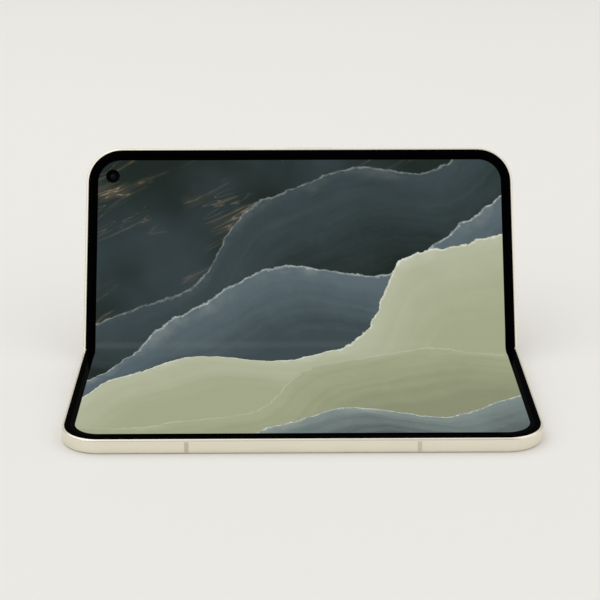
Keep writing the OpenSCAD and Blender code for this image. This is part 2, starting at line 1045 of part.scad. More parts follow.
module hinge_base(right) {
    x = (right ? 1 : -1) * unit_x;
    color("slategray")
        in_spine()
            difference() {
                union() {
                    along_fold(x - unit_len / 2, x + unit_len / 2)
                        spine_section(spine_in - fit, base_top);
                    for (side = [-1, 1])
                        rod(2 * gear_pin_r, x - gear_pin_len, x + gear_pin_len, side * sync_u,
                            sync_z);
                }
                for (upper = [false, true])
                    arm_room(upper, arm_x(upper, right));
                gear_room(x);
                pin_rods(x, gear_pin_r + slip, gear_pin_len + fit);
            }
}

module hinge_base_left() {
    hinge_base(false);
}

module hinge_base_right() {
    hinge_base(true);
}

module gear_pins() {
    color("silver")
        in_spine()
            for (side = [-1, 1])
                pin_rods(side * unit_x, gear_pin_r, gear_pin_len);
}

// Lowest reach of the dipped wing plate at u, with room to spare
function wing_low(u) =
    wing_pin_z - (wing_pivot_u - u) * tan(90 / wing_ratio)
    + (wing_bottom - wing_pin_z) / cos(90 / wing_ratio) - 0.12;

module swing_arm(upper, right) {
    x = arm_x(upper, right);
    color("slategray")
        difference() {
            along_fold(x - arm_len / 2, x + arm_len / 2) {
                pivot_sector(arc_in, arc_out, -150, -27);
                polygon([[pivot_u + 1.6, arm_bottom], [arm_foot_u, arm_bottom],
                    [arm_foot_u, mid_bottom], [lip_u + 0.9, mid_bottom],
                    [lip_u + 0.6, wing_low(lip_u + 0.6)],
                    [pivot_u + 1.6, wing_low(pivot_u + 1.6)]]);
            }
            arm_holes(upper);
        }
}

module swing_arm_lower_left() {
    in_lower()
        swing_arm(false, false);
}

module swing_arm_lower_right() {
    in_lower()
        swing_arm(false, true);
}

module swing_arm_upper_left() {
    in_upper()
        swing_arm(true, false);
}

module swing_arm_upper_right() {
    in_upper()
        swing_arm(true, true);
}

// One gear tooth that points in the direction dir
module tooth(dir) {
    wide = 0.675 * gear_module;
    tip = 0.35 * gear_module;
    rotate(dir)
        polygon([[root_r - 0.12, -1.5 * wide], [root_r, -1.45 * wide], [pitch_r, -wide],
            [tip_r, -tip], [tip_r, tip], [pitch_r, wide], [root_r, 1.45 * wide],
            [root_r - 0.12, 1.5 * wide]]);
}

// The two sides mesh because their teeth are shifted by a quarter step each way
function shift_of(upper) = (upper ? 1 : -1) * tooth_shift;
function first_tooth(upper) = mesh_dir + shift_of(upper) - (upper ? gear_step : 0);

// Part of a gear wheel: hub, root and three teeth
module sync_gear_section(upper) {
    last = first_tooth(upper) - 2 * gear_step;
    circle(gear_hub_r);
    for (i = [0:2])
        tooth(first_tooth(upper) - i * gear_step);
    intersection() {
        circle(root_r);
        rotate(last - 14)
            polygon([[0, 0], [3, 0], [3, 3], [-3, 3], [-3 * cos(80), 3 * sin(80)]]);
    }
}

module sync_arm(upper, right) {
    x = (right ? 1 : -1) * unit_x;
    color("silver")
        on_side(upper, sync_u, sync_z, rest_turn)
            difference() {
                along_fold(x - gear_len / 2, x + gear_len / 2)
                    translate([sync_u, sync_z]) {
                        sync_gear_section(upper);
                        polygon([[-0.3, 0], [0.3, -0.3], [1.03, 0], [5.6, 0], [5.6, 0.75],
                            [3.2, 0.75], [2.2, 0.55], [0.8, 0.22], [0, 0.3]]);
                    }
                rod(gear_pin_r + slip, x - gear_len, x + gear_len, sync_u, sync_z);
            }
}

module sync_arm_lower_left() {
    sync_arm(false, false);
}

module sync_arm_lower_right() {
    sync_arm(false, true);
}

module sync_arm_upper_left() {
    sync_arm(true, false);
}

module sync_arm_upper_right() {
    sync_arm(true, true);
}

module idler_gears(upper) {
    start = mesh_dir - 180 + gear_step / 2 - shift_of(upper);
    color("silver")
        on_side(upper, idler_u, idler_z, -rest_turn)
            difference() {
                for (side = [-1, 1])
                    along_fold(side * unit_x - gear_len / 2, side * unit_x + gear_len / 2)
                        translate([idler_u, idler_z]) {
                            circle(root_r);
                            for (i = [1:gear_teeth])
                                tooth(start + i * gear_step);
                        }
                rod(gear_pin_r + slip, -half_w, half_w, idler_u, idler_z);
            }
}

module idler_gears_lower() {
    idler_gears(false);
}

module idler_gears_upper() {
    idler_gears(true);
}

// Thin plate that holds the display near the fold and dips as the phone closes
module wing_plate() {
    color("gray")
        turn_at(wing_pivot_u, wing_pin_z, wing_turn)
            difference() {
                union() {
                    block(-wing_half_len, wing_half_len, wing_end_u, wing_pivot_u,
                        wing_bottom, wing_top);
                    rod(wing_pin_r, -wing_half_len, wing_half_len, wing_pivot_u, wing_pin_z);
                }
                both_sides()
                    block(unit_x - gear_pocket / 2, unit_x + gear_pocket / 2, 0,
                        wing_end_u + 0.6, -half_t, 0);
            }
}

module wing_plate_lower() {
    in_lower()
        wing_plate();
}

module wing_plate_upper() {
    in_upper()
        wing_plate();
}

// Middle line of a ribbon cable, from the fold line to the upper half's board
ribbon_r = spine_in - 0.3;
ribbon_t = 0.12;
ribbon_z = board_top + ribbon_t / 2 + 0.01;
ribbon_half = concat(
    [for (d = [-90:15:-15]) [pivot_u + ribbon_r * cos(d), ribbon_r * sin(d) - pivot_drop]],
    [for (u = [lip_u + 1, bay_u + 3])
        [in_spine_u(u, ribbon_z), in_spine_z(u, ribbon_z)]]);
ribbon_line = concat([for (p = backwards(ribbon_half)) [-p[0], p[1]]], ribbon_half);

// Unit normal of the line a-b, pointing to its left
function normal_of(a, b) = [a[1] - b[1], b[0] - a[0]] / norm(b - a);

// The line moved sideways by d
function moved(line, d) = [for (i = [0:len(line) - 1])
    line[i] + d * normal_of(line[max(i - 1, 0)], line[min(i + 1, len(line) - 1)])];

function backwards(line) = [for (i = [len(line) - 1:-1:0]) line[i]];

module ribbon_cable(side) {
    color("orange")
        in_spine()
            along_fold(side * ribbon_x - ribbon_w / 2, side * ribbon_x + ribbon_w / 2)
                polygon(concat(moved(ribbon_line, ribbon_t / 2),
                    backwards(moved(ribbon_line, -ribbon_t / 2))));
}

module ribbon_cable_left() {
    ribbon_cable(-1);
}

module ribbon_cable_right() {
    ribbon_cable(1);
}

// The stretch of the display that bends: straight on the wing plates, round between them
bend_dir = rest_turn + wing_turn;
bend_r = 2.5;
fold_top = [in_spine_u(wing_pivot_u, -display_drop), in_spine_z(wing_pivot_u, -display_drop)];
fold_under = [in_spine_u(wing_pivot_u, display_z), in_spine_z(wing_pivot_u, display_z)];
bend_z = fold_top[1] - (fold_top[0] - bend_r * sin(bend_dir)) * tan(bend_dir)
    + bend_r * cos(bend_dir);

function bend_arc(r) = [for (i = [-8:8]) [0, bend_z] + r * [sin(bend_dir * i / 8),
    -cos(bend_dir * i / 8)]];

module inner_display_fold() {
    color("darkolivegreen")
        in_spine()
            along_fold(fit - inner_x, inner_x - fit)
                polygon(concat([[-fold_top[0], fold_top[1]]], bend_arc(bend_r), [fold_top],
                    [fold_under], backwards(bend_arc(bend_r + display_t)),
                    [[-fold_under[0], fold_under[1]]]));
}

lower_frame();
lower_support_sheet();
lower_bezel_trim();
cover_glass();
cover_display_panel();
cover_camera();
lower_battery();
lower_board();
card_reader();
card_tray();
earpiece_speaker();
haptic_motor_case();
haptic_motor_mass();
lower_antenna_breaks();
lower_magnets();
lower_screws();
inner_display_lower();
upper_frame();
upper_support_sheet();
upper_bezel_trim();
back_glass();
camera_island();
wide_camera();
ultrawide_camera();
tele_camera();
flash_lamp();
inner_camera();
main_board();
board_shield();
upper_battery();
charging_coil();
charging_socket();
loudspeaker();
power_key();
volume_key();
side_key_switches();
upper_antenna_breaks();
upper_magnets();
upper_screws();
inner_display_upper();
spine_cover();
hinge_base_left();
hinge_base_right();
swing_arm_lower_left();
swing_arm_lower_right();
swing_arm_upper_left();
swing_arm_upper_right();
sync_arm_lower_left();
sync_arm_lower_right();
sync_arm_upper_left();
sync_arm_upper_right();
idler_gears_lower();
idler_gears_upper();
gear_pins();
wing_plate_lower();
wing_plate_upper();
ribbon_cable_left();
ribbon_cable_right();
inner_display_fold();
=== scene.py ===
"""Looks of a half-open folding phone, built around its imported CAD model, in metres."""

import json
import logging
import math
from dataclasses import dataclass
from enum import Enum
from functools import cache, cached_property
from typing import Callable, Sequence

import bmesh
import bpy
from mathutils import Matrix, Vector


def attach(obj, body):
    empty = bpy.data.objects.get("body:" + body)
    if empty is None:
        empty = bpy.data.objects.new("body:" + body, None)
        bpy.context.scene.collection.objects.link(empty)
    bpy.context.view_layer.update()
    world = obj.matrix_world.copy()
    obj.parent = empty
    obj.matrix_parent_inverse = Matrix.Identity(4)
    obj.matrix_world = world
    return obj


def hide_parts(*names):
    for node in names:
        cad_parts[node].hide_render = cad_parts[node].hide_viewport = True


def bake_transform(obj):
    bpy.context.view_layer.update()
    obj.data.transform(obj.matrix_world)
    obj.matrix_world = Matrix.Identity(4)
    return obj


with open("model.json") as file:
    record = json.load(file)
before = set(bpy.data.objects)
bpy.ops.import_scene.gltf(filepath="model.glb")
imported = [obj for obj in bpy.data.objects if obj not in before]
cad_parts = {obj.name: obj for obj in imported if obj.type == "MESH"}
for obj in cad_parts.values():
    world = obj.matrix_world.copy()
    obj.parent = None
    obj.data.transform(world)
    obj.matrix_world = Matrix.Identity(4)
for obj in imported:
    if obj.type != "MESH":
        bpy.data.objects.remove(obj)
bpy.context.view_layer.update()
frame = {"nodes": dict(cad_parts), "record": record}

log = logging.getLogger("folding_phone")

Colour = tuple[float, float, float]
Point2 = tuple[float, float]
Point3 = tuple[float, float, float]

MM = 0.001
X_AXIS = Vector((1.0, 0.0, 0.0))
# Metres within which two places count as one
TOUCH = 1e-6
# Millimetres that a dressed camera stays inside the plain one it stands for
HAIR = 0.02


class Side(Enum):
    """The two halves of the phone, seen from the spine."""

    LOWER = -1
    UPPER = 1


# ---- sizes and places


@dataclass(frozen=True)
class BodySizes:
    """Sizes of the phone's two halves, in millimetres.

    Each half has its own coordinates: x along the fold, u from the fold line
    outward, and z up from the top of the soft trim.
    """

    half_w: float = 77.6
    half_l: float = 75.1
    half_t: float = 5.1
    corner_r: float = 12.8
    wall: float = 1.1
    fit: float = 0.05
    pivot_u: float = 1.3
    pivot_drop: float = 1.15
    rest_turn: float = 29.5

    @property
    def inner_x(self) -> float:
        """Half the width inside the rims."""
        return self.half_w - self.wall - self.fit


BODY = BodySizes()


@dataclass(frozen=True)
class Place:
    """One half's or the spine's own coordinates, laid into the common frame.

    They belong to a CAD body, and x = u = z = 0 lies at the origin, in millimetres.
    The u axis is +Y turned about +X by some degrees, and runs against it with flip.
    """

    body: str
    origin: Point2
    turn: float
    flip: bool = False

    @property
    def u_axis(self) -> Vector:
        """Direction in which u grows."""
        angle = math.radians(self.turn)
        sign = -1.0 if self.flip else 1.0
        return Vector((0.0, sign * math.cos(angle), sign * math.sin(angle)))

    @property
    def z_axis(self) -> Vector:
        """Direction in which z grows."""
        angle = math.radians(self.turn)
        return Vector((0.0, -math.sin(angle), math.cos(angle)))

    def point(self, x: float, u: float, z: float) -> Vector:
        """Turns a place given in millimetres here into the common frame, in metres."""
        start = Vector((x, self.origin[0], self.origin[1]))
        return (start + u * self.u_axis + z * self.z_axis) * MM


def turned_point(point: Point2, about: Point2, degrees: float) -> Point2:
    """Turns a point of the Y-Z plane about another one.

    Args:
        point: The point to turn.
        about: The centre of the turn.
        degrees: The turn about +X.

    Returns:
        The turned point.
    """
    angle = math.radians(degrees)
    y, z = point[0] - about[0], point[1] - about[1]
    return (about[0] + y * math.cos(angle) - z * math.sin(angle),
            about[1] + y * math.sin(angle) + z * math.cos(angle))


def rest_places(body: BodySizes) -> tuple[Place, Place, Place]:
    """Works out where the two halves and the spine of such a body lie at rest.

    Args:
        body: Its sizes.

    Returns:
        The lower half's, the spine's and the upper half's place.
    """
    fold_y = body.half_l / 2
    lower_axis = (fold_y - body.pivot_u, body.half_t - body.pivot_drop)
    upper_axis = turned_point((fold_y + body.pivot_u, lower_axis[1]), lower_axis,
                              body.rest_turn)
    spine_origin = turned_point((fold_y, body.half_t), lower_axis, body.rest_turn)
    upper_origin = turned_point(spine_origin, upper_axis, body.rest_turn)
    return (
        Place("lower_half", (fold_y, body.half_t), 0.0, flip=True),
        Place("spine", spine_origin, body.rest_turn),
        Place("upper_half", upper_origin, 2 * body.rest_turn),
    )


LOWER, SPINE, UPPER = rest_places(BODY)

# The inner camera's x and u on the upper half
INNER_CAMERA: Point2 = (-67.95, 64.55)


# ---- shader graphs


def _operator(kind: str, reflected: bool = False) -> Callable[["Value", "Number"], "Value"]:
    """Makes the method of one operator.

    Args:
        kind: The operation of the Math node.
        reflected: True if the other value stands before the method's own.

    Returns:
        The method.
    """
    def method(self: "Value", other: "Number") -> "Value":
        """Adds the operator's Math node."""
        return self.graph.math(kind, *((other, self) if reflected else (self, other)))

    return method


class Value:
    """A shader socket that takes part in arithmetic.

    Each operator adds the Math node that it stands for.
    """

    def __init__(self, graph: "Graph", socket: bpy.types.NodeSocket) -> None:
        """Wraps one output socket of a graph."""
        self.graph = graph
        self.socket = socket

    __add__, __radd__ = _operator("ADD"), _operator("ADD", reflected=True)
    __sub__, __rsub__ = _operator("SUBTRACT"), _operator("SUBTRACT", reflected=True)
    __mul__, __rmul__ = _operator("MULTIPLY"), _operator("MULTIPLY", reflected=True)
    __truediv__, __rtruediv__ = _operator("DIVIDE"), _operator("DIVIDE", reflected=True)
    __lt__, __gt__ = _operator("LESS_THAN"), _operator("GREATER_THAN")

    def __abs__(self) -> "Value":
        """This value without its sign."""
        return self.graph.math("ABSOLUTE", self)

    def clamped(self) -> "Value":
        """This value held between 0 and 1."""
        return self.graph.math("ADD", self, 0.0, clamp=True)

    def at_least(self, low: "Number") -> "Value":
        """This value, or the lower bound where it is under it."""
        return self.graph.math("MAXIMUM", self, low)

    def fraction(self) -> "Value":
        """What this value has after its point."""
        return self.graph.math("FRACT", self)

    def band(self, centre: "Number", width: float) -> "Value":
        """A soft line: 1 where this value is at the centre, 0 a width away."""
        return (1.0 - abs(self - centre) / width).clamped()

    def step(self, start: float, end: float) -> "Value":
        """A smooth rise from 0 at the start to 1 at the end."""
        return self.graph.add("ShaderNodeMapRange", {"interpolation_type": "SMOOTHSTEP"},
                              {"Value": self, "From Min": start, "From Max": end})


Number = Value | float


class Graph:
    """The shader graph of one material, or of the world."""

    def __init__(self, homes: bpy.types.bpy_prop_collection, name: str) -> None:
        """Starts an empty graph.

        Args:
            homes: Where the new material or world is made.
            name: Its name.
        """
        self.owner = homes.new(name)
        self.owner.use_nodes = True
        self.tree = self.owner.node_tree
        self.tree.nodes.clear()

    def add(self, kind: str, settings: dict[str, object] | None = None,
            sockets: dict[str | int, object] | None = None, out: str | int = 0) -> Value:
        """Adds a node.

        Args:
            kind: The node's type.
            settings: The node's own settings, or "stops" for a ramp.
            sockets: A number, a tuple or a Value for each input, by name or number.
            out: The output to return.

        Returns:
            The output as a Value.
        """
        node = self.tree.nodes.new(kind)
        for key, setting in (settings or {}).items():
            if key == "stops":
                self._set_stops(node.color_ramp, setting)
            else:
                setattr(node, key, setting)
        for key, given in (sockets or {}).items():
            socket = node.inputs[key]
            if isinstance(given, Value):
                self.tree.links.new(given.socket, socket)
            else:
                socket.default_value = given
        return Value(self, node.outputs[out] if len(node.outputs) else None)

    @staticmethod
    def _set_stops(ramp: bpy.types.ColorRamp, stops: Sequence[tuple[float, Colour]]) -> None:
        """Puts a colour ramp's stops in place.

        Args:
            ramp: The ramp.
            stops: The place and colour of each.
        """
        while len(ramp.elements) < len(stops):
            ramp.elements.new(0.5)
        for element, (position, colour) in zip(ramp.elements, stops):
            element.position = position
            element.color = (*colour, 1.0)

    def math(self, operation: str, *values: Number, clamp: bool = False) -> Value:
        """Adds a Math node for one, two or three values."""
        settings = {"operation": operation, "use_clamp": clamp}
        return self.add("ShaderNodeMath", settings, dict(enumerate(values)))

    def mix(self, factor: Number, first: Value | Colour, second: Value | Colour) -> Value:
        """Mixes two colours: 0 gives the first and 1 the second."""
        sockets = {0: factor, 6: _rgba(first), 7: _rgba(second)}
        return self.add("ShaderNodeMix", {"data_type": "RGBA"}, sockets, out=2)

    @cached_property
    def place(self) -> Value:
        """The point on the object, in metres, which moves with it."""
        return self.add("ShaderNodeTexCoord", out="Object")

    def along(self, axis: Vector, origin: Vector) -> Value:
        """Measures along an axis.

        Args:
            axis: The axis.
            origin: The place to measure from, in metres.

        Returns:
            Millimetres from there to the point.
        """
        dot = self.add("ShaderNodeVectorMath", {"operation": "DOT_PRODUCT"},
                       {0: self.place, 1: tuple(axis)}, out="Value")
        return dot * (1 / MM) - axis.dot(origin) / MM

    def length(self, x: Value, y: Value) -> Value:
        """Length of the longest side over two that are square to each other."""
        return self.math("SQRT", x * x + y * y)

    def reach(self, place: Place, centre: Point2) -> Value:
        """Millimetres from an axis that is square to a half, at the centre's x and u."""
        origin = place.point(*centre, 0.0)
        return self.length(self.along(X_AXIS, origin), self.along(place.u_axis, origin))

    def seen(self) -> Value:
        """Marks what is seen.

        Returns:
            1 for the camera's rays, mirrored ones, and those that come through glass.
        """
        rays = [self.add("ShaderNodeLightPath", out=f"Is {kind} Ray")
                for kind in ("Camera", "Glossy", "Transmission")]
        return (rays[0] + rays[1] + rays[2]).clamped()

    def noise(self, scale: float, detail: float = 3.0, roughness: float = 0.5,
              distortion: float = 0.0, at: Value | None = None) -> Value:
        """Adds a Noise Texture.

        Args:
            scale: Its scale, per metre at the point.
            detail: Its octaves.
            roughness: How much the finer octaves add.
            distortion: How far it is distorted.
            at: Where it is read, or None for the point.

        Returns:
            The noise, about 0.5.
        """
        return self.add("ShaderNodeTexNoise", {}, {
            "Vector": at or self.place, "Scale": scale, "Detail": detail,
            "Roughness": roughness, "Distortion": distortion})

    def cells(self, out: str, scale: float, randomness: float,
              distance: str = "EUCLIDEAN") -> Value:
        """Adds a Voronoi Texture over the object and returns one of its outputs."""
        sockets = {"Vector": self.place, "Scale": scale, "Randomness": randomness}
        return self.add("ShaderNodeTexVoronoi", {"distance": distance}, sockets, out)

    def part(self, vector: Value, index: int) -> Value:
        """One of a vector's or colour's three numbers."""
        return self.add("ShaderNodeSeparateXYZ", {}, {0: vector}, out=index)

    def vector(self, x: Number, y: Number, z: Number = 0.0) -> Value:
        """Joins three numbers into a vector."""
        return self.add("ShaderNodeCombineXYZ", {}, {0: x, 1: y, 2: z})

    def bump(self, height: Value, distance: float, strength: float = 1.0) -> Value:
        """Turns a height, 0 to 1 for a distance in millimetres, into a normal."""
        return self.add("ShaderNodeBump", {}, {
            "Height": height, "Distance": distance * MM, "Strength": strength})

    def surface(self, **sockets: object) -> None:
        """Ends the graph in one surface shader.

        Args:
            **sockets: What its sockets get; a _ in a name stands for a space.
        """
        named = {key.replace("_", " "): _rgba(given) if "Color" in key else given
                 for key, given in sockets.items()}
        shader = self.add("ShaderNodeBsdfPrincipled", {}, named)
        self.add("ShaderNodeOutputMaterial", {}, {"Surface": shader})


def _rgba(given: object) -> object:
    """Gives a plain colour its alpha, and leaves a Value as it is."""
    return given if isinstance(given, Value) else (*given, 1.0)


def srgb(*levels: int) -> Colour:
    """Turns the three levels of a screen colour, 0 to 255, into linear light."""
    shares = [level / 255 for level in levels]
    return tuple(s / 12.92 if s <= 0.04045 else ((s + 0.055) / 1.055) ** 2.4 for s in shares)


def scaled(colour: Colour, factor: float) -> Colour:
    """A colour made lighter or darker by a factor."""
    return tuple(min(1.0, part * factor) for part in colour)


# ---- finishes


@dataclass(frozen=True)
class Finish:
    """A material that is worked out over the surface of a piece."""

    name: str

    @cached_property
    def graph(self) -> Graph:
        """The graph of the finish's own material."""
        return Graph(bpy.data.materials, self.name)

    @cache
    def material(self) -> bpy.types.Material:
        """Builds the material the first time that it is asked for."""
        self.dress()
        return self.graph.owner

    def dress(self) -> None:
        """Fills the graph."""
        raise NotImplementedError


@dataclass(frozen=True)
class Grained(Finish):
    """A fine grain under slow clouds of a darker tint.

    Attributes:
        height: The grain's height, in millimetres.
        stretch: How many times longer than wide the grain is.
        grain: Scale, detail and roughness of the grain's noise.
        relief: How strongly the grain's height shows.
        swing: How far the grain and the clouds change the roughness.
        clouds: Scale and detail of the clouds' noise.
        cloud_range: The noise's levels at which a cloud ends and starts.
        shade: Share of the colour that is left in a cloud.
    """

    colour: Colour
    roughness: float = 0.5
    height: float = 0.004
    gloss: float = 0.5
    stretch: float = 1.0
    metallic: float = 0.0
    coat: float = 0.0
    grain: Point3 = (3400.0, 4.0, 0.6)
    relief: float = 0.5
    swing: Point2 = (0.16, 0.0)
    clouds: Point2 = (90.0, 2.0)
    cloud_range: Point2 = (0.3, 0.7)
    shade: float = 0.9

    def dress(self) -> None:
        """Fills the graph."""
        drawn = self.graph.add("ShaderNodeVectorMath", {"operation": "MULTIPLY"},
                               {0: self.graph.place, 1: (1.0 / self.stretch, 1.0, 1.0)})
        grain = self.graph.noise(*self.grain, at=drawn)
        cloud = self.graph.noise(*self.clouds)
        self.graph.surface(
            Base_Color=self.graph.mix(cloud.step(*self.cloud_range),
                                      scaled(self.colour, self.shade), self.colour),
            Metallic=self.metallic,
            Roughness=(self.roughness + (grain - 0.5) * self.swing[0]
                       + (cloud - 0.5) * self.swing[1]),
            Specular_IOR_Level=self.gloss,
            Coat_Weight=self.coat,
            Coat_Roughness=0.3,
            Normal=self.graph.bump(grain, self.height, self.relief),
        )


@dataclass(frozen=True)
class BlastedMetal(Grained):
    """Anodised metal with a fine blasted grain."""

    roughness: float = 0.32
    height: float = 0.003
    metallic: float = 1.0
    grain: Point3 = (5200.0, 3.0, 0.6)
    relief: float = 0.35
    swing: Point2 = (0.10, 0.08)
    clouds: Point2 = (55.0, 3.0)
    shade: float = 0.965


@dataclass(frozen=True)
class GroundSteel(Grained):
    """Steel with the fine parallel lines of grinding."""

    roughness: float = 0.3
    height: float = 0.002
    stretch: float = 24.0
    metallic: float = 1.0
    grain: Point3 = (3600.0, 4.0, 0.65)
    swing: Point2 = (0.22, 0.0)
    clouds: Point2 = (260.0, 3.0)
    cloud_range: Point2 = (0.35, 0.7)
    shade: float = 0.86


@dataclass(frozen=True)
class MouldedPlastic(Grained):
    """Moulded plastic or elastomer with a fine spark-eroded skin."""

    gloss: float = 0.4


@dataclass(frozen=True)
class FrostedGlass(Grained):
    """Etched back glass over a warm coloured film."""

    name: str = "back_pane"
    colour: Colour = srgb(206, 202, 184)
    roughness: float = 0.36
    height: float = 0.0012
    coat: float = 0.15
    grain: Point3 = (9000.0, 2.0, 0.7)
    relief: float = 0.3
    swing: Point2 = (0.12, 0.0)
    clouds: Point2 = (40.0, 3.0)
    shade: float = 0.97


@dataclass(frozen=True)
class PictureFold:
    """One of the soft folds that the screen's picture is laid from, in millimetres.

    It fills all that lies under its wavy crest, from the crest's colour down to the
    deep one, and a pale line of some strength runs along the crest.
    """

    height: float
    swing: float
    wavelength: float
    phase: float
    crest: Colour
    deep: Colour
    depth: float
    line: float


@dataclass(frozen=True)
class ScreenPicture(Finish):
    """The lit inner screen: long silky folds inside a black printed border.

    Sizes are in millimetres on the unrolled screen, x along the fold and s across
    it, with s = 0 at the fold and positive on the upper half. The crease is a soft
    sheen beside the fold, which rises and falls again between two values of s.
    """

    name: str = "screen_picture"
    sheet: Point2 = (2 * BODY.half_w, 2 * BODY.half_l)
    lit_half: Point2 = (73.22, 70.1)
    lit_corner: float = 8.2
    lit_edge: float = 0.06
    crease_rise: Point2 = (-0.1, 2.3)
    crease_fall: Point2 = (2.3, 3.8)
    crease_shine: float = 0.62
    slant: float = 27.0
    night: Colour = srgb(33, 42, 38)
    dusk: Colour = srgb(62, 74, 77)
    slate: Colour = srgb(92, 106, 112)
    mist: Colour = srgb(126, 138, 134)
    olive: Colour = srgb(138, 142, 114)
    sage: Colour = srgb(163, 167, 137)
    pale: Colour = srgb(178, 182, 156)
    thread: Colour = srgb(158, 142, 116)
    foam: Colour = srgb(214, 217, 206)
    glass: Colour = (0.0004, 0.0004, 0.0004)
    border: Colour = (0.0, 0.0, 0.0)

    @property
    def folds(self) -> tuple[PictureFold, ...]:
        """The folds from the furthest to the nearest."""
        return (
            PictureFold(47.0, 9.0, 120.0, 0.4, self.dusk, self.night, 42.0, 0.25),
            PictureFold(22.0, 12.0, 150.0, 2.3, self.slate, self.dusk, 26.0, 0.55),
            PictureFold(2.0, 10.0, 105.0, 4.4, self.pale, self.sage, 30.0, 1.0),
            PictureFold(-27.0, 13.0, 135.0, 0.9, self.sage, self.olive, 46.0, 0.35),
            PictureFold(-62.0, 12.0, 110.0, 3.0, self.mist, self.dusk, 30.0, 0.9),
        )

    def dress(self) -> None:
        """Fills the graph."""
        uv = self.graph.add("ShaderNodeUVMap", {"uv_map": "screen"})
        x = (self.graph.part(uv, 0) - 0.5) * self.sheet[0]
        s = (self.graph.part(uv, 1) - 0.5) * self.sheet[1]
        lit = self._lit(x, s)
        crease = s.step(*self.crease_rise) * (1.0 - s.step(*self.crease_fall))
        self.graph.surface(
            Base_Color=self.glass,
            Emission_Color=self.graph.mix(lit, self.border, self._picture(x, s)),
            Emission_Strength=1.0,
            Roughness=0.12 + self.graph.noise(60.0, at=uv) * 0.06,
            Specular_IOR_Level=0.004,
            Coat_Weight=crease * lit * self.crease_shine,
            Coat_Roughness=0.25,
        )

    def _lit(self, x: Value, s: Value) -> Value:
        """Marks the lit area, whose corners are round.

        Args:
            x: Millimetres along the fold.
            s: Millimetres across it.

        Returns:
            1 inside the area and 0 in the border.
        """
        over = [(abs(part) - (half - self.lit_corner)).at_least(0.0)
                for part, half in zip((x, s), self.lit_half)]
        rim = (self.lit_corner - self.lit_edge, self.lit_corner + self.lit_edge)
        return 1.0 - self.graph.length(*over).step(*rim)

    def _picture(self, x: Value, s: Value) -> Value:
        """Lays the folds over the night and its threads, from the furthest on.

        Args:
            x: Millimetres along the phone's fold.
            s: Millimetres across it.

        Returns:
            The picture's colour.
        """
        cos, sin = math.cos(math.radians(self.slant)), math.sin(math.radians(self.slant))
        along = x * cos + s * sin
        across = s * cos - x * sin
        flat = self.graph.vector(x, s)
        haze = self.graph.noise(0.02, at=flat).step(0.35, 0.7)
        colour = self.graph.mix(haze, self.night, scaled(self.dusk, 0.8))
        colour = self.graph.mix(self._threads(along, across), colour, self.thread)
        wander = (self.graph.noise(0.16, 7.0, 0.62, at=flat) - 0.5) * 5.0
        cloud = self.graph.noise(0.05, 8.0, 0.62, at=flat)
        broken = self.graph.noise(0.4, 4.0, 0.7, at=flat).step(0.34, 0.62)
        for fold in self.folds:
            turn = 2 * math.pi / fold.wavelength
            swell = self.graph.math("SINE", along * turn + fold.phase) * fold.swing
            lean = self.graph.math("SINE", along * (turn * 2.6) + fold.phase * 3.0)
            below = swell + lean * (fold.swing * 0.22) + wander + fold.height - across
            drawn = self.graph.vector(along * 0.012, below * 0.20, fold.phase)
            silk = self.graph.noise(1.0, 6.0, 0.62, at=drawn)
            depth = (below / fold.depth + (silk - 0.5) * 0.9 + (cloud - 0.5) * 0.7).clamped()
            edge = below.band(0.45, 0.55) * (0.25 + broken * 0.75) * fold.line
            wash = below.band(1.0, 5.0) * cloud.step(0.45, 0.7) * (0.35 * fold.line)
            cloth = self.graph.mix(depth, fold.crest, fold.deep)
            cloth = self.graph.mix((edge + wash).clamped(), cloth, self.foam)
            colour = self.graph.mix(below.step(-0.12, 0.12), colour, cloth)
        return colour

    def _threads(self, along: Value, across: Value) -> Value:
        """Draws thin warm threads that drift through the night.

        Args:
            along: Millimetres along the picture's slant.
            across: Millimetres across it.

        Returns:
            How much of a thread there is, from 0 to 1.
        """
        drawn = self.graph.vector(along * 0.008, across * 0.05)
        wander = self.graph.noise(1.0, 5.0, 0.52, 0.2, at=drawn)
        fine = wander.band(0.5, 0.004) * 0.5 + wander.band(0.55, 0.003) * 0.3
        glow = wander.band(0.5, 0.03) * 0.14
        strength = self.graph.noise(0.03, at=self.graph.vector(along, across)).step(0.44, 0.62)
        return ((fine + glow) * strength).clamped()


@dataclass(frozen=True)
class DarkGlass(Finish):
    """Black glass: the cover screen, the cover camera and the inner camera's dot."""

    colour: Colour = (0.006, 0.006, 0.007)
    smear: float = 0.05
    gloss: float = 0.5

    def dress(self) -> None:
        """Fills the graph."""
        cloud = self.graph.noise(70.0, 4.0, 0.6)
        self.graph.surface(
            Base_Color=self.graph.mix(cloud, scaled(self.colour, 0.8), scaled(self.colour, 1.25)),
            Roughness=0.03 + cloud * self.smear,
            Specular_IOR_Level=self.gloss,
        )


@dataclass(frozen=True)
class CoatedLens(Finish):
    """A lens element with a coloured anti-reflection coating."""

    place: Place
    centre: Point2
    radius: float
    strength: float = 1.0

    def dress(self) -> None:
        """Fills the graph."""
        stops = [
            (0.0, (0.002, 0.002, 0.004)), (0.30, (0.004, 0.006, 0.012)),
            (0.45, (0.012, 0.020, 0.050)), (0.70, (0.018, 0.050, 0.055)),
            (0.90, (0.045, 0.020, 0.060)), (1.0, (0.004, 0.004, 0.006)),
        ]
        coat = self.graph.add(
            "ShaderNodeValToRGB",
            {"stops": [(share, scaled(colour, self.strength)) for share, colour in stops]},
            {"Fac": self.graph.reach(self.place, self.centre) / self.radius},
        )
        self.graph.surface(
            Base_Color=coat,
            Roughness=0.02 + self.graph.noise(400.0) * 0.02,
            Specular_IOR_Level=0.5 * self.strength,
        )


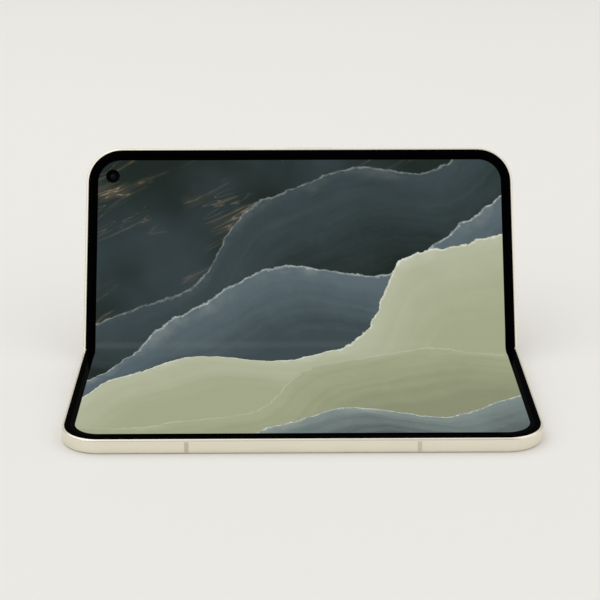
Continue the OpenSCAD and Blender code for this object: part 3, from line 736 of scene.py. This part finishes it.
@dataclass(frozen=True)
class ClearWindow(Finish):
    """A thin clear glass over a lens, which covers a small share of what is behind."""

    name: str = "lens_window"
    cover: float = 0.14
    colour: Colour = (0.01, 0.011, 0.013)

    def dress(self) -> None:
        """Fills the graph."""
        cloud = self.graph.noise(300.0)
        self.graph.surface(
            Base_Color=self.colour,
            Roughness=0.015 + cloud * 0.02,
            Alpha=self.cover + cloud * 0.02,
            Specular_IOR_Level=0.5,
        )


@dataclass(frozen=True)
class LampDiffuser(Finish):
    """The lamp's diffuser: a yellow core behind fine moulded rings."""

    name: str = "lamp_diffuser"
    centre: Point2 = (-67.0, 52.1)
    ring_turn: float = 34.0
    core: Point2 = (0.25, 0.75)
    pane: Colour = srgb(236, 232, 214)
    phosphor: Colour = srgb(226, 196, 92)

    def dress(self) -> None:
        """Fills the graph."""
        reach = self.graph.reach(UPPER, self.centre)
        rings = self.graph.math("SINE", reach * self.ring_turn) * 0.5 + 0.5
        core = 1.0 - reach.step(*self.core)
        self.graph.surface(
            Base_Color=self.graph.mix(core, self.pane, self.phosphor),
            Roughness=0.22 + rings * 0.1,
            Coat_Weight=0.5,
            Normal=self.graph.bump(rings, 0.03, 0.7),
        )


@dataclass(frozen=True)
class CellFoil(Finish):
    """A battery's wrinkled foil pouch, with painted shade and highlight on its wrinkles."""

    name: str = "cell_foil"
    colour: Colour = (0.045, 0.046, 0.05)

    def dress(self) -> None:
        """Fills the graph."""
        crease = self.graph.noise(120.0, 5.0, 0.55, 1.2)
        self.graph.surface(
            # The colour follows the wrinkles' height: painted shade in the creases, painted
            # highlight on the ridges.
            Base_Color=self.graph.mix(crease, scaled(self.colour, 0.7), scaled(self.colour, 1.5)),
            Metallic=0.35,
            Roughness=0.3 + crease * 0.2,
            Normal=self.graph.bump(crease, 0.05, 0.5),
        )


@dataclass(frozen=True)
class BoardMask(Finish):
    """A circuit board: green mask over traces, with tinned pads and dark chips."""

    name: str = "board_mask"
    mask: Colour = (0.008, 0.075, 0.04)
    tin: Colour = (0.62, 0.62, 0.60)
    chip: Colour = (0.012, 0.012, 0.014)
    fill: float = 0.32
    chip_from: float = 0.62
    pad_to: float = 0.22

    def dress(self) -> None:
        """Fills the graph."""
        cells, kinds = (self.graph.cells(out, 320.0, 0.85, "CHEBYCHEV")
                        for out in ("Distance", "Color"))
        pick = self.graph.part(kinds, 0)
        inside = cells < self.fill
        chips = inside * (pick > self.chip_from)
        pads = inside * (pick < self.pad_to)
        traces = self.graph.noise(900.0, 2.0, 0.5, 2.0).band(0.5, 0.03)
        green = self.graph.mix(traces * 0.5, self.mask, scaled(self.mask, 2.2))
        self.graph.surface(
            Base_Color=self.graph.mix(pads, self.graph.mix(chips, green, self.chip), self.tin),
            Metallic=pads,
            Roughness=0.32 + chips * 0.2 - pads * 0.05,
            Coat_Weight=0.3 * (1.0 - chips),
            Normal=self.graph.bump(chips + traces * 0.2, 0.05, 0.5),
        )


@dataclass(frozen=True)
class WoundCopper(Finish):
    """A flat coil of enamelled copper wire, with painted shade between its turns."""

    name: str = "wound_copper"
    centre: Point2 = (22.5, 49.05)
    pitch: float = 0.62
    # Painted shade: the dark brown of the grooves between the wire's turns.
    gap: Colour = (0.12, 0.035, 0.015)
    copper: Colour = (0.80, 0.42, 0.22)

    def dress(self) -> None:
        """Fills the graph."""
        turn = (self.graph.reach(UPPER, self.centre) / self.pitch).fraction()
        wire = 1.0 - abs(turn - 0.5) * 2.0
        self.graph.surface(
            # Each turn darkens from its middle into the groove between turns: painted shade.
            Base_Color=self.graph.mix(wire.step(0.05, 0.5), self.gap, self.copper),
            Metallic=wire.step(0.05, 0.3),
            Roughness=0.28 + self.graph.noise(800.0) * 0.1,
            Normal=self.graph.bump(wire, 0.12, 0.8),
        )


@dataclass(frozen=True)
class CableFilm(Finish):
    """Amber film over fine copper tracks that run along a flat cable."""

    name: str = "cable_film"
    pitch: float = 0.5
    gap: float = 0.45
    film: Colour = (0.30, 0.10, 0.015)
    track: Colour = (0.62, 0.27, 0.06)

    def dress(self) -> None:
        """Fills the graph."""
        copper = (self.graph.along(X_AXIS, Vector()) / self.pitch).fraction() > self.gap
        self.graph.surface(
            Base_Color=self.graph.mix(copper, self.film, self.track),
            Roughness=0.3 + self.graph.noise(900.0) * 0.12,
            Coat_Weight=0.4,
            Normal=self.graph.bump(copper, 0.015, 0.6),
        )


@dataclass(frozen=True)
class SocketShell(Finish):
    """The charging socket: a steel shell round a black tongue with gilt contacts."""

    name: str = "socket_shell"
    centre: Point2 = (37.55, -2.8)
    tongue_half: Point2 = (3.4, 0.4)
    contact_depth: float = 0.3
    contact_pitch: float = 0.5
    steel: Colour = (0.55, 0.55, 0.54)
    gilt: Colour = (0.85, 0.62, 0.25)
    plastic: Colour = (0.012, 0.012, 0.012)

    def dress(self) -> None:
        """Fills the graph."""
        origin = UPPER.point(0.0, *self.centre)
        u = self.graph.along(UPPER.u_axis, origin)
        z = self.graph.along(UPPER.z_axis, origin)
        tongue = (abs(z) < self.tongue_half[1]) * (abs(u) < self.tongue_half[0])
        stripes = (u / self.contact_pitch + 20.0).fraction() < 0.5
        contact = tongue * ((abs(z) > self.contact_depth) * stripes)
        bare = tongue * (1.0 - contact)
        metal = self.graph.mix(contact, self.steel, self.gilt)
        self.graph.surface(
            Base_Color=self.graph.mix(bare, metal, self.plastic),
            Metallic=1.0 - bare,
            Roughness=0.28 + self.graph.noise(1500.0) * 0.12,
        )


@dataclass(frozen=True)
class WovenMesh(Finish):
    """A speaker's fine black acoustic mesh, with its holes a pitch apart."""

    name: str = "acoustic_mesh"
    pitch: float = 0.22
    hole: Colour = (0.002, 0.002, 0.002)
    thread: Colour = (0.07, 0.07, 0.07)

    def dress(self) -> None:
        """Fills the graph."""
        wire = self.graph.cells("Distance", 1.0 / (self.pitch * MM), 0.0).step(0.28, 0.42)
        self.graph.surface(
            Base_Color=self.graph.mix(wire, self.hole, self.thread),
            Metallic=wire * 0.7,
            Roughness=0.45,
            Normal=self.graph.bump(wire, 0.05, 0.8),
        )


@dataclass(frozen=True)
class PaleFloor(Finish):
    """The plain pale floor, which fades into the room far from the phone."""

    name: str = "pale_floor"
    colour: Colour = srgb(238, 237, 233)
    air: Colour = (1.0, 0.99, 0.975)
    look: float = 0.64
    fade: Point2 = (0.7, 1.9)

    def dress(self) -> None:
        """Fills the graph."""
        cloud = self.graph.noise(6.0, 2.0)
        ground = self.graph.add("ShaderNodeBsdfPrincipled", {}, {
            "Base Color": self.graph.mix(cloud, scaled(self.colour, 0.99), self.colour),
            "Roughness": 0.85, "Specular IOR Level": 0.1})
        x, y = (self.graph.part(self.graph.place, index) for index in (0, 1))
        far = self.graph.length(x, y).step(*self.fade) * self.graph.seen()
        room = self.graph.add("ShaderNodeEmission", {}, {0: _rgba(self.air), 1: self.look})
        blend = self.graph.add("ShaderNodeMixShader", {}, {0: far, 1: ground, 2: room})
        self.graph.add("ShaderNodeOutputMaterial", {}, {"Surface": blend})


CHAMPAGNE = BlastedMetal("champagne_metal", (0.860, 0.815, 0.690), 0.24)
BLACK_METAL = BlastedMetal("black_metal", (0.030, 0.030, 0.032), 0.3, 0.002)
LENS_RING = BlastedMetal("lens_ring", (0.30, 0.28, 0.24), 0.2, 0.001)
INK = MouldedPlastic("black_film", (0.002, 0.002, 0.002), 0.45, 0.002, 0.1)

SLOT_FINISHES: dict[str, Finish] = {
    "satin_metal": CHAMPAGNE,
    "spine_metal": BlastedMetal("spine_metal", (0.740, 0.690, 0.600), 0.2, 0.001),
    "break_plastic": MouldedPlastic("break_plastic", srgb(215, 204, 186), 0.42),
    "soft_trim": MouldedPlastic("soft_trim", (0.0008, 0.0008, 0.0008), 0.6, 0.006, 0.004),
    "cover_screen": DarkGlass("cover_screen"),
    "back_pane": FrostedGlass(),
    "lens_black": DarkGlass("lens_black"),
    "lamp_white": LampDiffuser(),
    "sheet_steel": GroundSteel("sheet_steel", (0.60, 0.60, 0.59), 0.28),
    "hinge_steel": GroundSteel("hinge_steel", (0.52, 0.52, 0.51), 0.24, stretch=6.0),
    "cell_wrap": CellFoil(),
    "board_green": BoardMask(),
    "module_black": MouldedPlastic("module_black", (0.020, 0.020, 0.021), 0.45),
    "heavy_mass": GroundSteel("heavy_mass", (0.36, 0.36, 0.37), 0.4, stretch=3.0),
    "coil_copper": WoundCopper(),
    "flex_amber": CableFilm(),
}
NODE_FINISHES: dict[str, Finish] = {"charging_socket": SocketShell()}


# ---- meshes


def soften(mesh: bpy.types.Mesh, sharp_degrees: float = 32.0) -> None:
    """Shades a mesh smooth, except over its sharp edges.

    Args:
        mesh: The mesh.
        sharp_degrees: From which angle between two faces an edge stays sharp.
    """
    work = bmesh.new()
    work.from_mesh(mesh)
    for face in work.faces:
        face.smooth = True
    for edge in work.edges:
        if len(edge.link_faces) == 2:
            edge.smooth = edge.calc_face_angle(0.0) < math.radians(sharp_degrees)
    work.to_mesh(mesh)
    work.free()


def add_piece(name: str, work: bmesh.types.BMesh, finishes: Sequence[Finish],
              place: Place | None = None) -> bpy.types.Object:
    """Turns a built mesh into a piece of the scene.

    Args:
        name: The piece's name.
        work: The mesh, which is freed.
        finishes: Its finishes, in the order of its material numbers.
        place: The half that it is fixed to, or None if it is fixed to none.

    Returns:
        The new object.
    """
    bmesh.ops.recalc_face_normals(work, faces=work.faces)
    mesh = bpy.data.meshes.new(name)
    work.to_mesh(mesh)
    work.free()
    soften(mesh)
    for finish in finishes:
        mesh.materials.append(finish.material())
    piece = bpy.data.objects.new(name, mesh)
    bpy.context.scene.collection.objects.link(piece)
    if place is not None:
        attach(piece, place.body)
    log.info("%s: %d faces", name, len(mesh.polygons))
    return piece


def join_rings(work: bmesh.types.BMesh, first: list, second: list) -> list[bmesh.types.BMFace]:
    """Joins two closed rings of vertices with faces.

    Args:
        work: The mesh.
        first: The vertices of one ring, or the only one of a point.
        second: The same number of vertices, or the only one of a point.

    Returns:
        The faces, in the order of the vertices.
    """
    count = max(len(first), len(second))
    faces = []
    for step in range(count):
        after = (step + 1) % count
        corners = (first[step % len(first)], first[after % len(first)],
                   second[after % len(second)], second[step % len(second)])
        faces.append(work.faces.new(tuple(dict.fromkeys(corners))))
    return faces


@dataclass(frozen=True)
class Turning:
    """A turned shape round an axis that is square to one half.

    The profile gives radius, z and material number of each corner; the number is
    that of the face from this corner to the next.
    """

    place: Place
    centre: Point2
    profile: tuple[tuple[float, float, int], ...]
    steps: int = 72

    def add_to(self, work: bmesh.types.BMesh) -> None:
        """Adds the turned faces to a mesh.

        Args:
            work: The mesh.
        """
        rings = [self._ring(work, radius, z) for radius, z, _ in self.profile]
        for first, second, (_, _, number) in zip(rings, rings[1:], self.profile):
            for face in join_rings(work, first, second):
                face.material_index = number

    def _ring(self, work: bmesh.types.BMesh, radius: float, z: float) -> list:
        """Adds the vertices of one corner.

        Args:
            work: The mesh.
            radius: The corner's distance from the axis.
            z: Its height.

        Returns:
            A ring of vertices, or the one on the axis.
        """
        count = self.steps if radius > 0.0 else 1
        turns = [2 * math.pi * step / count for step in range(count)]
        return [work.verts.new(self.place.point(self.centre[0] + radius * math.cos(turn),
                                                self.centre[1] + radius * math.sin(turn), z))
                for turn in turns]


@dataclass(frozen=True)
class Block:
    """A block with rounded edges."""

    place: Place
    low: Point3
    high: Point3
    round_r: float
    number: int = 0

    def add_to(self, work: bmesh.types.BMesh) -> None:
        """Adds the block to a mesh.

        Args:
            work: The mesh.
        """
        made = bmesh.ops.create_cube(work, size=1.0)
        for vertex in made["verts"]:
            shares = [part + 0.5 for part in vertex.co]
            vertex.co = self.place.point(
                *(a + (b - a) * t for a, b, t in zip(self.low, self.high, shares)))
        edges = list({edge for vertex in made["verts"] for edge in vertex.link_edges})
        bevel = bmesh.ops.bevel(work, geom=edges, offset=self.round_r * MM, segments=3,
                                profile=0.5, affect="EDGES")
        for vertex in bevel["verts"]:
            for face in vertex.link_faces:
                face.material_index = self.number


def disc(centre: Point2, radius: float, heights: Point2, number: int = 0) -> Turning:
    """Shapes a flat disc on the upper half.

    Args:
        centre: Its x and u.
        radius: Its radius.
        heights: The z of both its faces.
        number: Its material number.

    Returns:
        The disc.
    """
    low, high = heights
    return Turning(UPPER, centre, ((0.0, low, number), (radius, low, number),
                                   (radius, high, number), (0.0, high, number)))


def shaped(*shapes: Turning | Block) -> bmesh.types.BMesh:
    """Builds a mesh.

    Args:
        *shapes: The turned shapes and blocks that it holds.

    Returns:
        The mesh.
    """
    work = bmesh.new()
    for shape in shapes:
        shape.add_to(work)
    return work


# ---- inner screen


@dataclass(frozen=True)
class InnerScreen:
    """The one folding screen, in two sheets that meet in the middle of the bend.

    Each sheet bends between one half and the spine, and both carry the same
    unrolled coordinates, so the picture runs on across the fold. From the middle
    outward a sheet is round, then straight over its wing plate, then flat.

    Sizes are in millimetres: the screen lies a drop under the top of the trim, and the
    sheet leaves its wing plate at wing_u. The fold turns wing_ratio times as far as a
    wing plate does.
    """

    drop: float = 0.15
    thickness: float = 0.35
    bend_thickness: float = 0.07
    bend_r: float = 3.9
    bend_reach: float = 2.75
    wing_u: float = 7.0
    wing_ratio: float = 6.0
    hole_r: float = 2.5
    hole_z: Point2 = (1.0, -1.5)
    camera: Point2 = INNER_CAMERA
    columns: int = 28
    round_rows: int = 24
    wing_rows: int = 12
    flat_rows: int = 20
    corner_rows: int = 24

    @property
    def bend_turn(self) -> float:
        """Half the turn of the round stretch, in radians."""
        return math.radians(BODY.rest_turn * (1 + 1 / self.wing_ratio))

    def _wing_point(self) -> Point2:
        """Where the sheet leaves the wing plate, in the spine's u and z."""
        start = (self.wing_u, -self.drop)
        return turned_point(start, (BODY.pivot_u, -BODY.pivot_drop), BODY.rest_turn)

    def _bend_centre(self) -> float:
        """Finds the centre of the round stretch.

        Returns:
            Its height, in the spine's z.
        """
        wing = self._wing_point()
        turn = self.bend_turn
        straight_u = wing[0] - self.bend_r * math.sin(turn)
        return wing[1] - straight_u * math.tan(turn) + self.bend_r * math.cos(turn)

    def _rows(self) -> list[tuple[Point2, float, float, float, float]]:
        """Rows from the middle outward, thin over the bend and full on the flat stretch.

        Returns:
            For each row the upper side's point in the spine's u and z, its slope, the
            distance along the sheet, half the sheet's width and its thickness there.
        """
        thin = self.bend_thickness
        turn, centre, wing = self.bend_turn, self._bend_centre(), self._wing_point()
        rows = []
        for step in range(self.round_rows + 1):
            angle = turn * step / self.round_rows
            point = (self.bend_r * math.sin(angle), centre - self.bend_r * math.cos(angle))
            rows.append((point, angle, self.bend_r * angle, BODY.inner_x, thin))
        start, length = rows[-1][0], self.bend_r * turn
        straight = math.dist(start, wing)
        for step in range(1, self.wing_rows + 1):
            share = step / self.wing_rows
            point = tuple(a + (b - a) * share for a, b in zip(start, wing))
            rows.append((point, turn, length + straight * share, BODY.inner_x, thin))
        angle = math.radians(BODY.rest_turn)
        for u, width in self._flat_outline():
            out = u - self.wing_u
            point = (wing[0] + out * math.cos(angle), wing[1] + out * math.sin(angle))
            rows.append((point, angle, length + straight + out, width, self.thickness))
        return rows

    def _flat_outline(self) -> list[Point2]:
        """Lays out the rows of the flat stretch, round the outer corners.

        Returns:
            The u and the half width of each.
        """
        inset = BODY.wall + BODY.fit
        radius = BODY.corner_r - inset
        corner_u = BODY.half_l - inset - radius
        rows = [(self.wing_u + (corner_u - self.wing_u) * step / self.flat_rows, BODY.inner_x)
                for step in range(1, self.flat_rows + 1)]
        for step in range(1, self.corner_rows + 1):
            angle = math.pi / 2 * step / self.corner_rows
            rows.append((corner_u + radius * math.sin(angle),
                         BODY.inner_x - radius + radius * math.cos(angle)))
        return rows

    def _sheet(self, name: str, side: Side) -> bpy.types.Object:
        """Builds one sheet.

        Args:
            name: The piece's name.
            side: The half that the sheet reaches into.

        Returns:
            The sheet, without its camera hole.
        """
        work = bmesh.new()
        flat: list[Point2] = []
        rings = []
        for (u, z), slope, length, width, thickness in self._rows():
            ring = []
            for depth, columns in ((0.0, range(self.columns + 1)),
                                   (thickness, range(self.columns, -1, -1))):
                for column in columns:
                    x = width * (2 * column / self.columns - 1)
                    ring.append(work.verts.new(SPINE.point(
                        x, side.value * (u + math.sin(slope) * depth),
                        z - math.cos(slope) * depth)))
                    flat.append((x, side.value * length))
            rings.append(ring)
        self._close(work, rings)
        work.verts.index_update()
        layer = work.loops.layers.uv.new("screen")
        for face in work.faces:
            for loop in face.loops:
                x, s = flat[loop.vert.index]
                loop[layer].uv = (x / (2 * BODY.half_w) + 0.5, s / (2 * BODY.half_l) + 0.5)
        return add_piece(name, work, [ScreenPicture(), INK])

    def _close(self, work: bmesh.types.BMesh, rings: list[list]) -> None:
        """Adds the lit face, then the black ones of the edges, underside and ends.

        Args:
            work: The mesh.
            rings: Its vertices, one ring for each row.
        """
        for first, second in zip(rings, rings[1:]):
            for face in join_rings(work, first, second)[self.columns:]:
                face.material_index = 1
        for ring in (rings[0], rings[-1]):
            for column in range(self.columns):
                end = work.faces.new((ring[column], ring[column + 1],
                                      ring[-2 - column], ring[-1 - column]))
                end.material_index = 1

    def _cut_camera_hole(self, sheet: bpy.types.Object) -> None:
        """Cuts the camera's hole.

        Args:
            sheet: The upper sheet.
        """
        post = disc(self.camera, self.hole_r, self.hole_z, 1)
        cutter = add_piece("screen_hole_cutter", shaped(post), [INK, INK])
        cut = sheet.modifiers.new("camera_hole", "BOOLEAN")
        cut.operation = "DIFFERENCE"
        cut.solver = "EXACT"
        cut.object = cutter
        bpy.context.view_layer.update()
        graph = bpy.context.evaluated_depsgraph_get()
        mesh = bpy.data.meshes.new_from_object(sheet.evaluated_get(graph))
        sheet.modifiers.clear()
        sheet.data = mesh
        bpy.data.objects.remove(cutter)

    @staticmethod
    def _open_middle(sheet: bpy.types.Object) -> None:
        """Takes away the hidden end faces in the middle of the bend.

        Args:
            sheet: Either sheet.
        """
        middle = SPINE.point(0.0, 0.0, 0.0)
        work = bmesh.new()
        work.from_mesh(sheet.data)
        ends = [face for face in work.faces if all(
            abs((corner.co - middle).dot(SPINE.u_axis)) < TOUCH for corner in face.verts)]
        bmesh.ops.delete(work, geom=ends, context="FACES_ONLY")
        work.to_mesh(sheet.data)
        work.free()
        soften(sheet.data)

    def build(self) -> None:
        """Builds both sheets, cuts the camera's hole, hides the CAD screen nodes and bakes each
        sheet's place into its mesh.
        """
        lower = self._sheet("screen_sheet_lower", Side.LOWER)
        upper = self._sheet("screen_sheet_upper", Side.UPPER)
        self._cut_camera_hole(upper)
        for sheet in (lower, upper):
            self._open_middle(sheet)
        height = self._bend_centre() - self.bend_r
        middle = SPINE.point(0.0, 0.0, height)
        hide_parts("inner_display_lower", "inner_display_fold")
        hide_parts("inner_display_upper")
        SPINE.point(0.0, -self.bend_reach, height)
        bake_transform(lower)
        SPINE.point(0.0, self.bend_reach, height)
        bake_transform(upper)


# ---- cameras


@dataclass(frozen=True)
class RearCamera:
    """A camera of the back: black ring, window, stepped barrel and coated lens.

    Sizes are in millimetres. The back looks down the half's z, so a lower z is
    further out. The ring stands on a square module, whose inner face is its top.
    """

    node: str
    x: float
    radius: float
    u: float = 52.1
    face_z: float = -6.9
    seat_z: float = -3.55
    module_top: float = -1.25
    lens_share: float = 0.46

    def build(self) -> None:
        """Builds the camera and its window, and puts it in its CAD node's place."""
        centre = (self.x, self.u)
        z, r = self.face_z, self.radius
        outer, lens_r = r - HAIR, self.lens_share * r
        barrel = Turning(UPPER, centre, (
            (outer, self.seat_z, 0), (outer, z + 0.08, 3), (r - 0.1, z, 3), (r - 0.42, z, 3),
            (r - 0.50, z + 0.07, 0), (r - 0.66, z + 0.2, 1), (r - 0.95, z + 0.75, 1),
            (0.62 * r, z + 0.8, 1), (0.60 * r, z + 0.62, 0), (0.53 * r, z + 0.62, 0),
            (0.51 * r, z + 0.72, 1), (lens_r, z + 1.05, 2),
            *((lens_r * math.cos(turn), z + 1.05 - 0.42 * math.sin(turn), 2)
              for turn in (0.25, 0.5, 0.75, 1.0, 1.25, 1.45)),
            (0.0, z + 0.62, 2),
        ))
        module = Block(UPPER, (self.x - outer, self.u - outer, self.seat_z - HAIR),
                       (self.x + outer, self.u + outer, self.module_top), 0.25, 1)
        lens = CoatedLens(f"{self.node}_lens", UPPER, centre, lens_r)
        unit = add_piece(f"{self.node}_unit", shaped(barrel, module),
                         (BLACK_METAL, INK, lens, LENS_RING), UPPER)
        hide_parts(self.node)
        pane = disc(centre, r - 0.64, (z + 0.1, z + 0.35))
        add_piece(f"{self.node}_window", shaped(pane), [ClearWindow()], UPPER)


@dataclass(frozen=True)
class InnerCamera:
    """The inner camera in its hole, with its module under the middle plate."""

    centre: Point2 = INNER_CAMERA
    radius: float = 2.45
    lens_share: float = 0.36
    module_half: float = 2.7
    steps: int = 64

    def build(self) -> None:
        """Builds the camera and puts it in its CAD node's place."""
        x, u = self.centre
        r, half = self.radius, self.module_half
        outer, lens_r = r - HAIR, self.lens_share * r
        barrel = Turning(UPPER, self.centre, (
            (outer, -1.18, 0), (outer, -0.21, 0), (r - 0.06, -0.17, 1),
            (0.52 * r, -0.17, 1), (0.50 * r, -0.20, 1), (0.48 * r, -0.30, 0),
            (0.38 * r, -0.62, 0), (lens_r, -0.62, 2),
            *((lens_r * math.cos(turn), -0.62 + 0.25 * math.sin(turn), 2)
              for turn in (0.3, 0.6, 0.9, 1.2, 1.45)),
            (0.0, -0.37, 2),
        ), self.steps)
        module = Block(UPPER, (x - half, u - half, -4.1), (x + half, u + half, -1.2), 0.2)
        dot = DarkGlass("camera_dot", (0.0006, 0.0006, 0.0007), 0.05, 0.02)
        lens = CoatedLens("inner_camera_lens", UPPER, self.centre, lens_r, 0.18)
        unit = add_piece("inner_camera_unit", shaped(barrel, module), (INK, dot, lens),
                         UPPER)
        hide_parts("inner_camera")


# ---- cables and grilles


@dataclass(frozen=True)
class RibbonCable:
    """A flat cable through the hinge, in two strips that meet in the spine.

    Sizes are in millimetres.
    """

    node: str
    x: float
    width: float = 8.0
    thickness: float = 0.12
    radius: float = 2.6
    board_z: float = -2.58
    board_u: Point2 = (6.0, 16.0)

    def _line(self, place: Place, side: Side) -> list[Vector]:
        """Lays a strip's middle line from the spine outward.

        Args:
            place: The half that the strip runs into.
            side: Which half it is.

        Returns:
            The line's points, in metres.
        """
        line = [SPINE.point(0.0, 0.0, -BODY.pivot_drop - self.radius)]
        for turn in map(math.radians, range(-90, -14, 5)):
            u = BODY.pivot_u + self.radius * math.cos(turn)
            line.append(SPINE.point(
                0.0, side.value * u, self.radius * math.sin(turn) - BODY.pivot_drop))
        for u, steps in zip(self.board_u, (5, 6)):
            start, end = line[-1], place.point(0.0, u, self.board_z)
            line += [start.lerp(end, step / steps) for step in range(1, steps + 1)]
        return line

    def _strip(self, place: Place, side: Side) -> bpy.types.Object:
        """Builds one strip.

        Args:
            place: The half that it runs into.
            side: Which half it is.

        Returns:
            The strip.
        """
        line = self._line(place, side)
        work = bmesh.new()
        rings = []
        for index, point in enumerate(line):
            ahead = line[min(index + 1, len(line) - 1)] - line[max(index - 1, 0)]
            up = X_AXIS.cross(ahead).normalized() * (self.thickness / 2 * MM)
            left, right = ((self.x + way * self.width / 2) * MM * X_AXIS for way in (-1, 1))
            rings.append([work.verts.new(point + move)
                          for move in (left + up, right + up, right - up, left - up)])
        for first, second in zip(rings, rings[1:]):
            join_rings(work, first, second)
        work.faces.new(rings[-1])
        name = f"{self.node}_in_{side.name.lower()}"
        return add_piece(name, work, [CableFilm()])

    def build(self) -> None:
        """Builds both strips, hides the CAD cable node and bakes each strip's place into its
        mesh.
        """
        lower = self._strip(LOWER, Side.LOWER)
        upper = self._strip(UPPER, Side.UPPER)
        for strip in (lower, upper):
            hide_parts(self.node)
        middle_z = -BODY.pivot_drop - self.radius
        LOWER.point(0.0, self.board_u[0], self.board_z)
        SPINE.point(0.0, -BODY.pivot_u, middle_z)
        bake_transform(lower)
        SPINE.point(0.0, BODY.pivot_u, middle_z)
        UPPER.point(0.0, self.board_u[0], self.board_z)
        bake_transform(upper)


@dataclass(frozen=True)
class Grille:
    """Acoustic mesh behind a sound slot, from its lowest to its highest x, u and z."""

    name: str
    place: Place
    low: Point3
    high: Point3

    def build(self) -> None:
        """Builds the mesh plate and puts it on its half."""
        plate = shaped(Block(self.place, self.low, self.high, 0.03))
        add_piece(self.name, plate, [WovenMesh()], self.place)


# ---- the phone


class Phone:
    """The whole phone: its own pieces and the finishes of its CAD nodes."""

    def __init__(self) -> None:
        """Lists the sub-assemblies in the order in which they are built."""
        island_x, wide, narrow = -47.0, 5.6, 4.8
        self.parts = (
            InnerScreen(),
            InnerCamera(),
            RearCamera("wide_camera", island_x + 14.0, wide),
            RearCamera("ultrawide_camera", island_x + 1.0, narrow),
            RearCamera("tele_camera", island_x - 12.0, narrow),
            RibbonCable("ribbon_cable_left", -22.0),
            RibbonCable("ribbon_cable_right", 22.0),
            Grille("loudspeaker_mesh", UPPER, (76.22, 47.5, -3.60), (76.46, 59.1, -2.00)),
            Grille("earpiece_mesh", LOWER, (-76.10, 51.15, -5.02), (-75.60, 61.85, -4.80)),
        )

    def build(self) -> None:
        """Dresses the CAD nodes and builds every sub-assembly."""
        self._dress_nodes()
        for part in self.parts:
            part.build()

    @staticmethod
    def _dress_nodes() -> None:
        """Gives each CAD node the finish of its material slot."""
        slots = {part["node"]: part["material_slot"] for part in frame["record"]["subparts"]}
        for name, node in frame["nodes"].items():
            finish = NODE_FINISHES.get(name) or SLOT_FINISHES.get(slots[name], INK)
            node.data.materials.clear()
            node.data.materials.append(finish.material())
            log.info("%s: %s", name, finish.name)


# ---- studio


@dataclass(frozen=True)
class SoftLamp:
    """One large soft lamp, in metres and watts."""

    name: str
    place: Point3
    size: Point2
    power: float

    def build(self, target: Vector) -> None:
        """Adds the lamp.

        Args:
            target: The point that it is turned to, in metres.
        """
        light = bpy.data.lights.new(self.name, "AREA")
        light.shape = "RECTANGLE"
        light.size, light.size_y = self.size
        light.energy = self.power
        lamp = bpy.data.objects.new(self.name, light)
        lamp.location = self.place
        lamp.rotation_euler = (target - lamp.location).to_track_quat("-Z", "Y").to_euler()
        bpy.context.scene.collection.objects.link(lamp)


@dataclass(frozen=True)
class Studio:
    """The floor, the lamps, the world and the camera.

    Sizes are in metres, and the camera's lens and sensor in millimetres.
    """

    target: Point3 = (0.0, 0.03, 0.03)
    floor: PaleFloor = PaleFloor()
    floor_half: float = 4.0
    floor_z: float = -0.00002
    room_light: float = 0.66
    lens: float = 99.62
    sensor: float = 36.0
    near: float = 0.01
    eye: Point3 = (-0.0060, -0.5121, 0.2285)
    look: Point3 = (0.00982, 0.93707, -0.34899)

    def build(self) -> None:
        """Builds the whole studio."""
        self._floor()
        self._world()
        for lamp in (
            SoftLamp("key_lamp", (-0.90, -0.20, 1.20), (2.2, 1.8), 6.4),
            SoftLamp("fill_lamp", (1.20, -0.30, 0.80), (1.8, 1.6), 3.4),
            SoftLamp("top_lamp", (0.05, 0.60, 1.30), (2.2, 1.4), 4.2),
        ):
            lamp.build(Vector(self.target))
        self._camera()

    def _floor(self) -> None:
        """Adds the pale floor, well beyond the view."""
        work = bmesh.new()
        bmesh.ops.create_grid(work, x_segments=4, y_segments=4, size=self.floor_half)
        mesh = bpy.data.meshes.new("floor")
        work.to_mesh(mesh)
        work.free()
        mesh.materials.append(self.floor.material())
        floor = bpy.data.objects.new("floor", mesh)
        floor.location.z = self.floor_z
        bpy.context.scene.collection.objects.link(floor)

    def _world(self) -> None:
        """Lights the room evenly, a little less bright where it is seen or mirrored."""
        graph = Graph(bpy.data.worlds, "studio")
        air = _rgba(self.floor.air)
        lit = graph.add("ShaderNodeBackground", {}, {0: air, 1: self.room_light})
        shown = graph.add("ShaderNodeBackground", {}, {0: air, 1: self.floor.look})
        blend = graph.add("ShaderNodeMixShader", {}, {0: graph.seen(), 1: lit, 2: shown})
        graph.add("ShaderNodeOutputWorld", {}, {"Surface": blend})
        bpy.context.scene.world = graph.owner

    def _camera(self) -> None:
        """Adds the camera and makes it the scene's."""
        lens = bpy.data.cameras.new("camera")
        lens.lens = self.lens
        lens.sensor_fit = "HORIZONTAL"
        lens.sensor_width = self.sensor
        lens.clip_start = self.near
        camera = bpy.data.objects.new("camera", lens)
        turn = Vector(self.look).to_track_quat("-Z", "Y")
        camera.matrix_world = Matrix.Translation(self.eye) @ turn.to_matrix().to_4x4()
        bpy.context.scene.collection.objects.link(camera)
        bpy.context.scene.camera = camera


def main() -> None:
    """Builds the phone and its studio."""
    logging.basicConfig(level=logging.INFO, format="%(message)s")
    bpy.context.scene.view_settings.view_transform = "Standard"
    Phone().build()
    Studio().build()


if __name__ == "__main__":
    main()
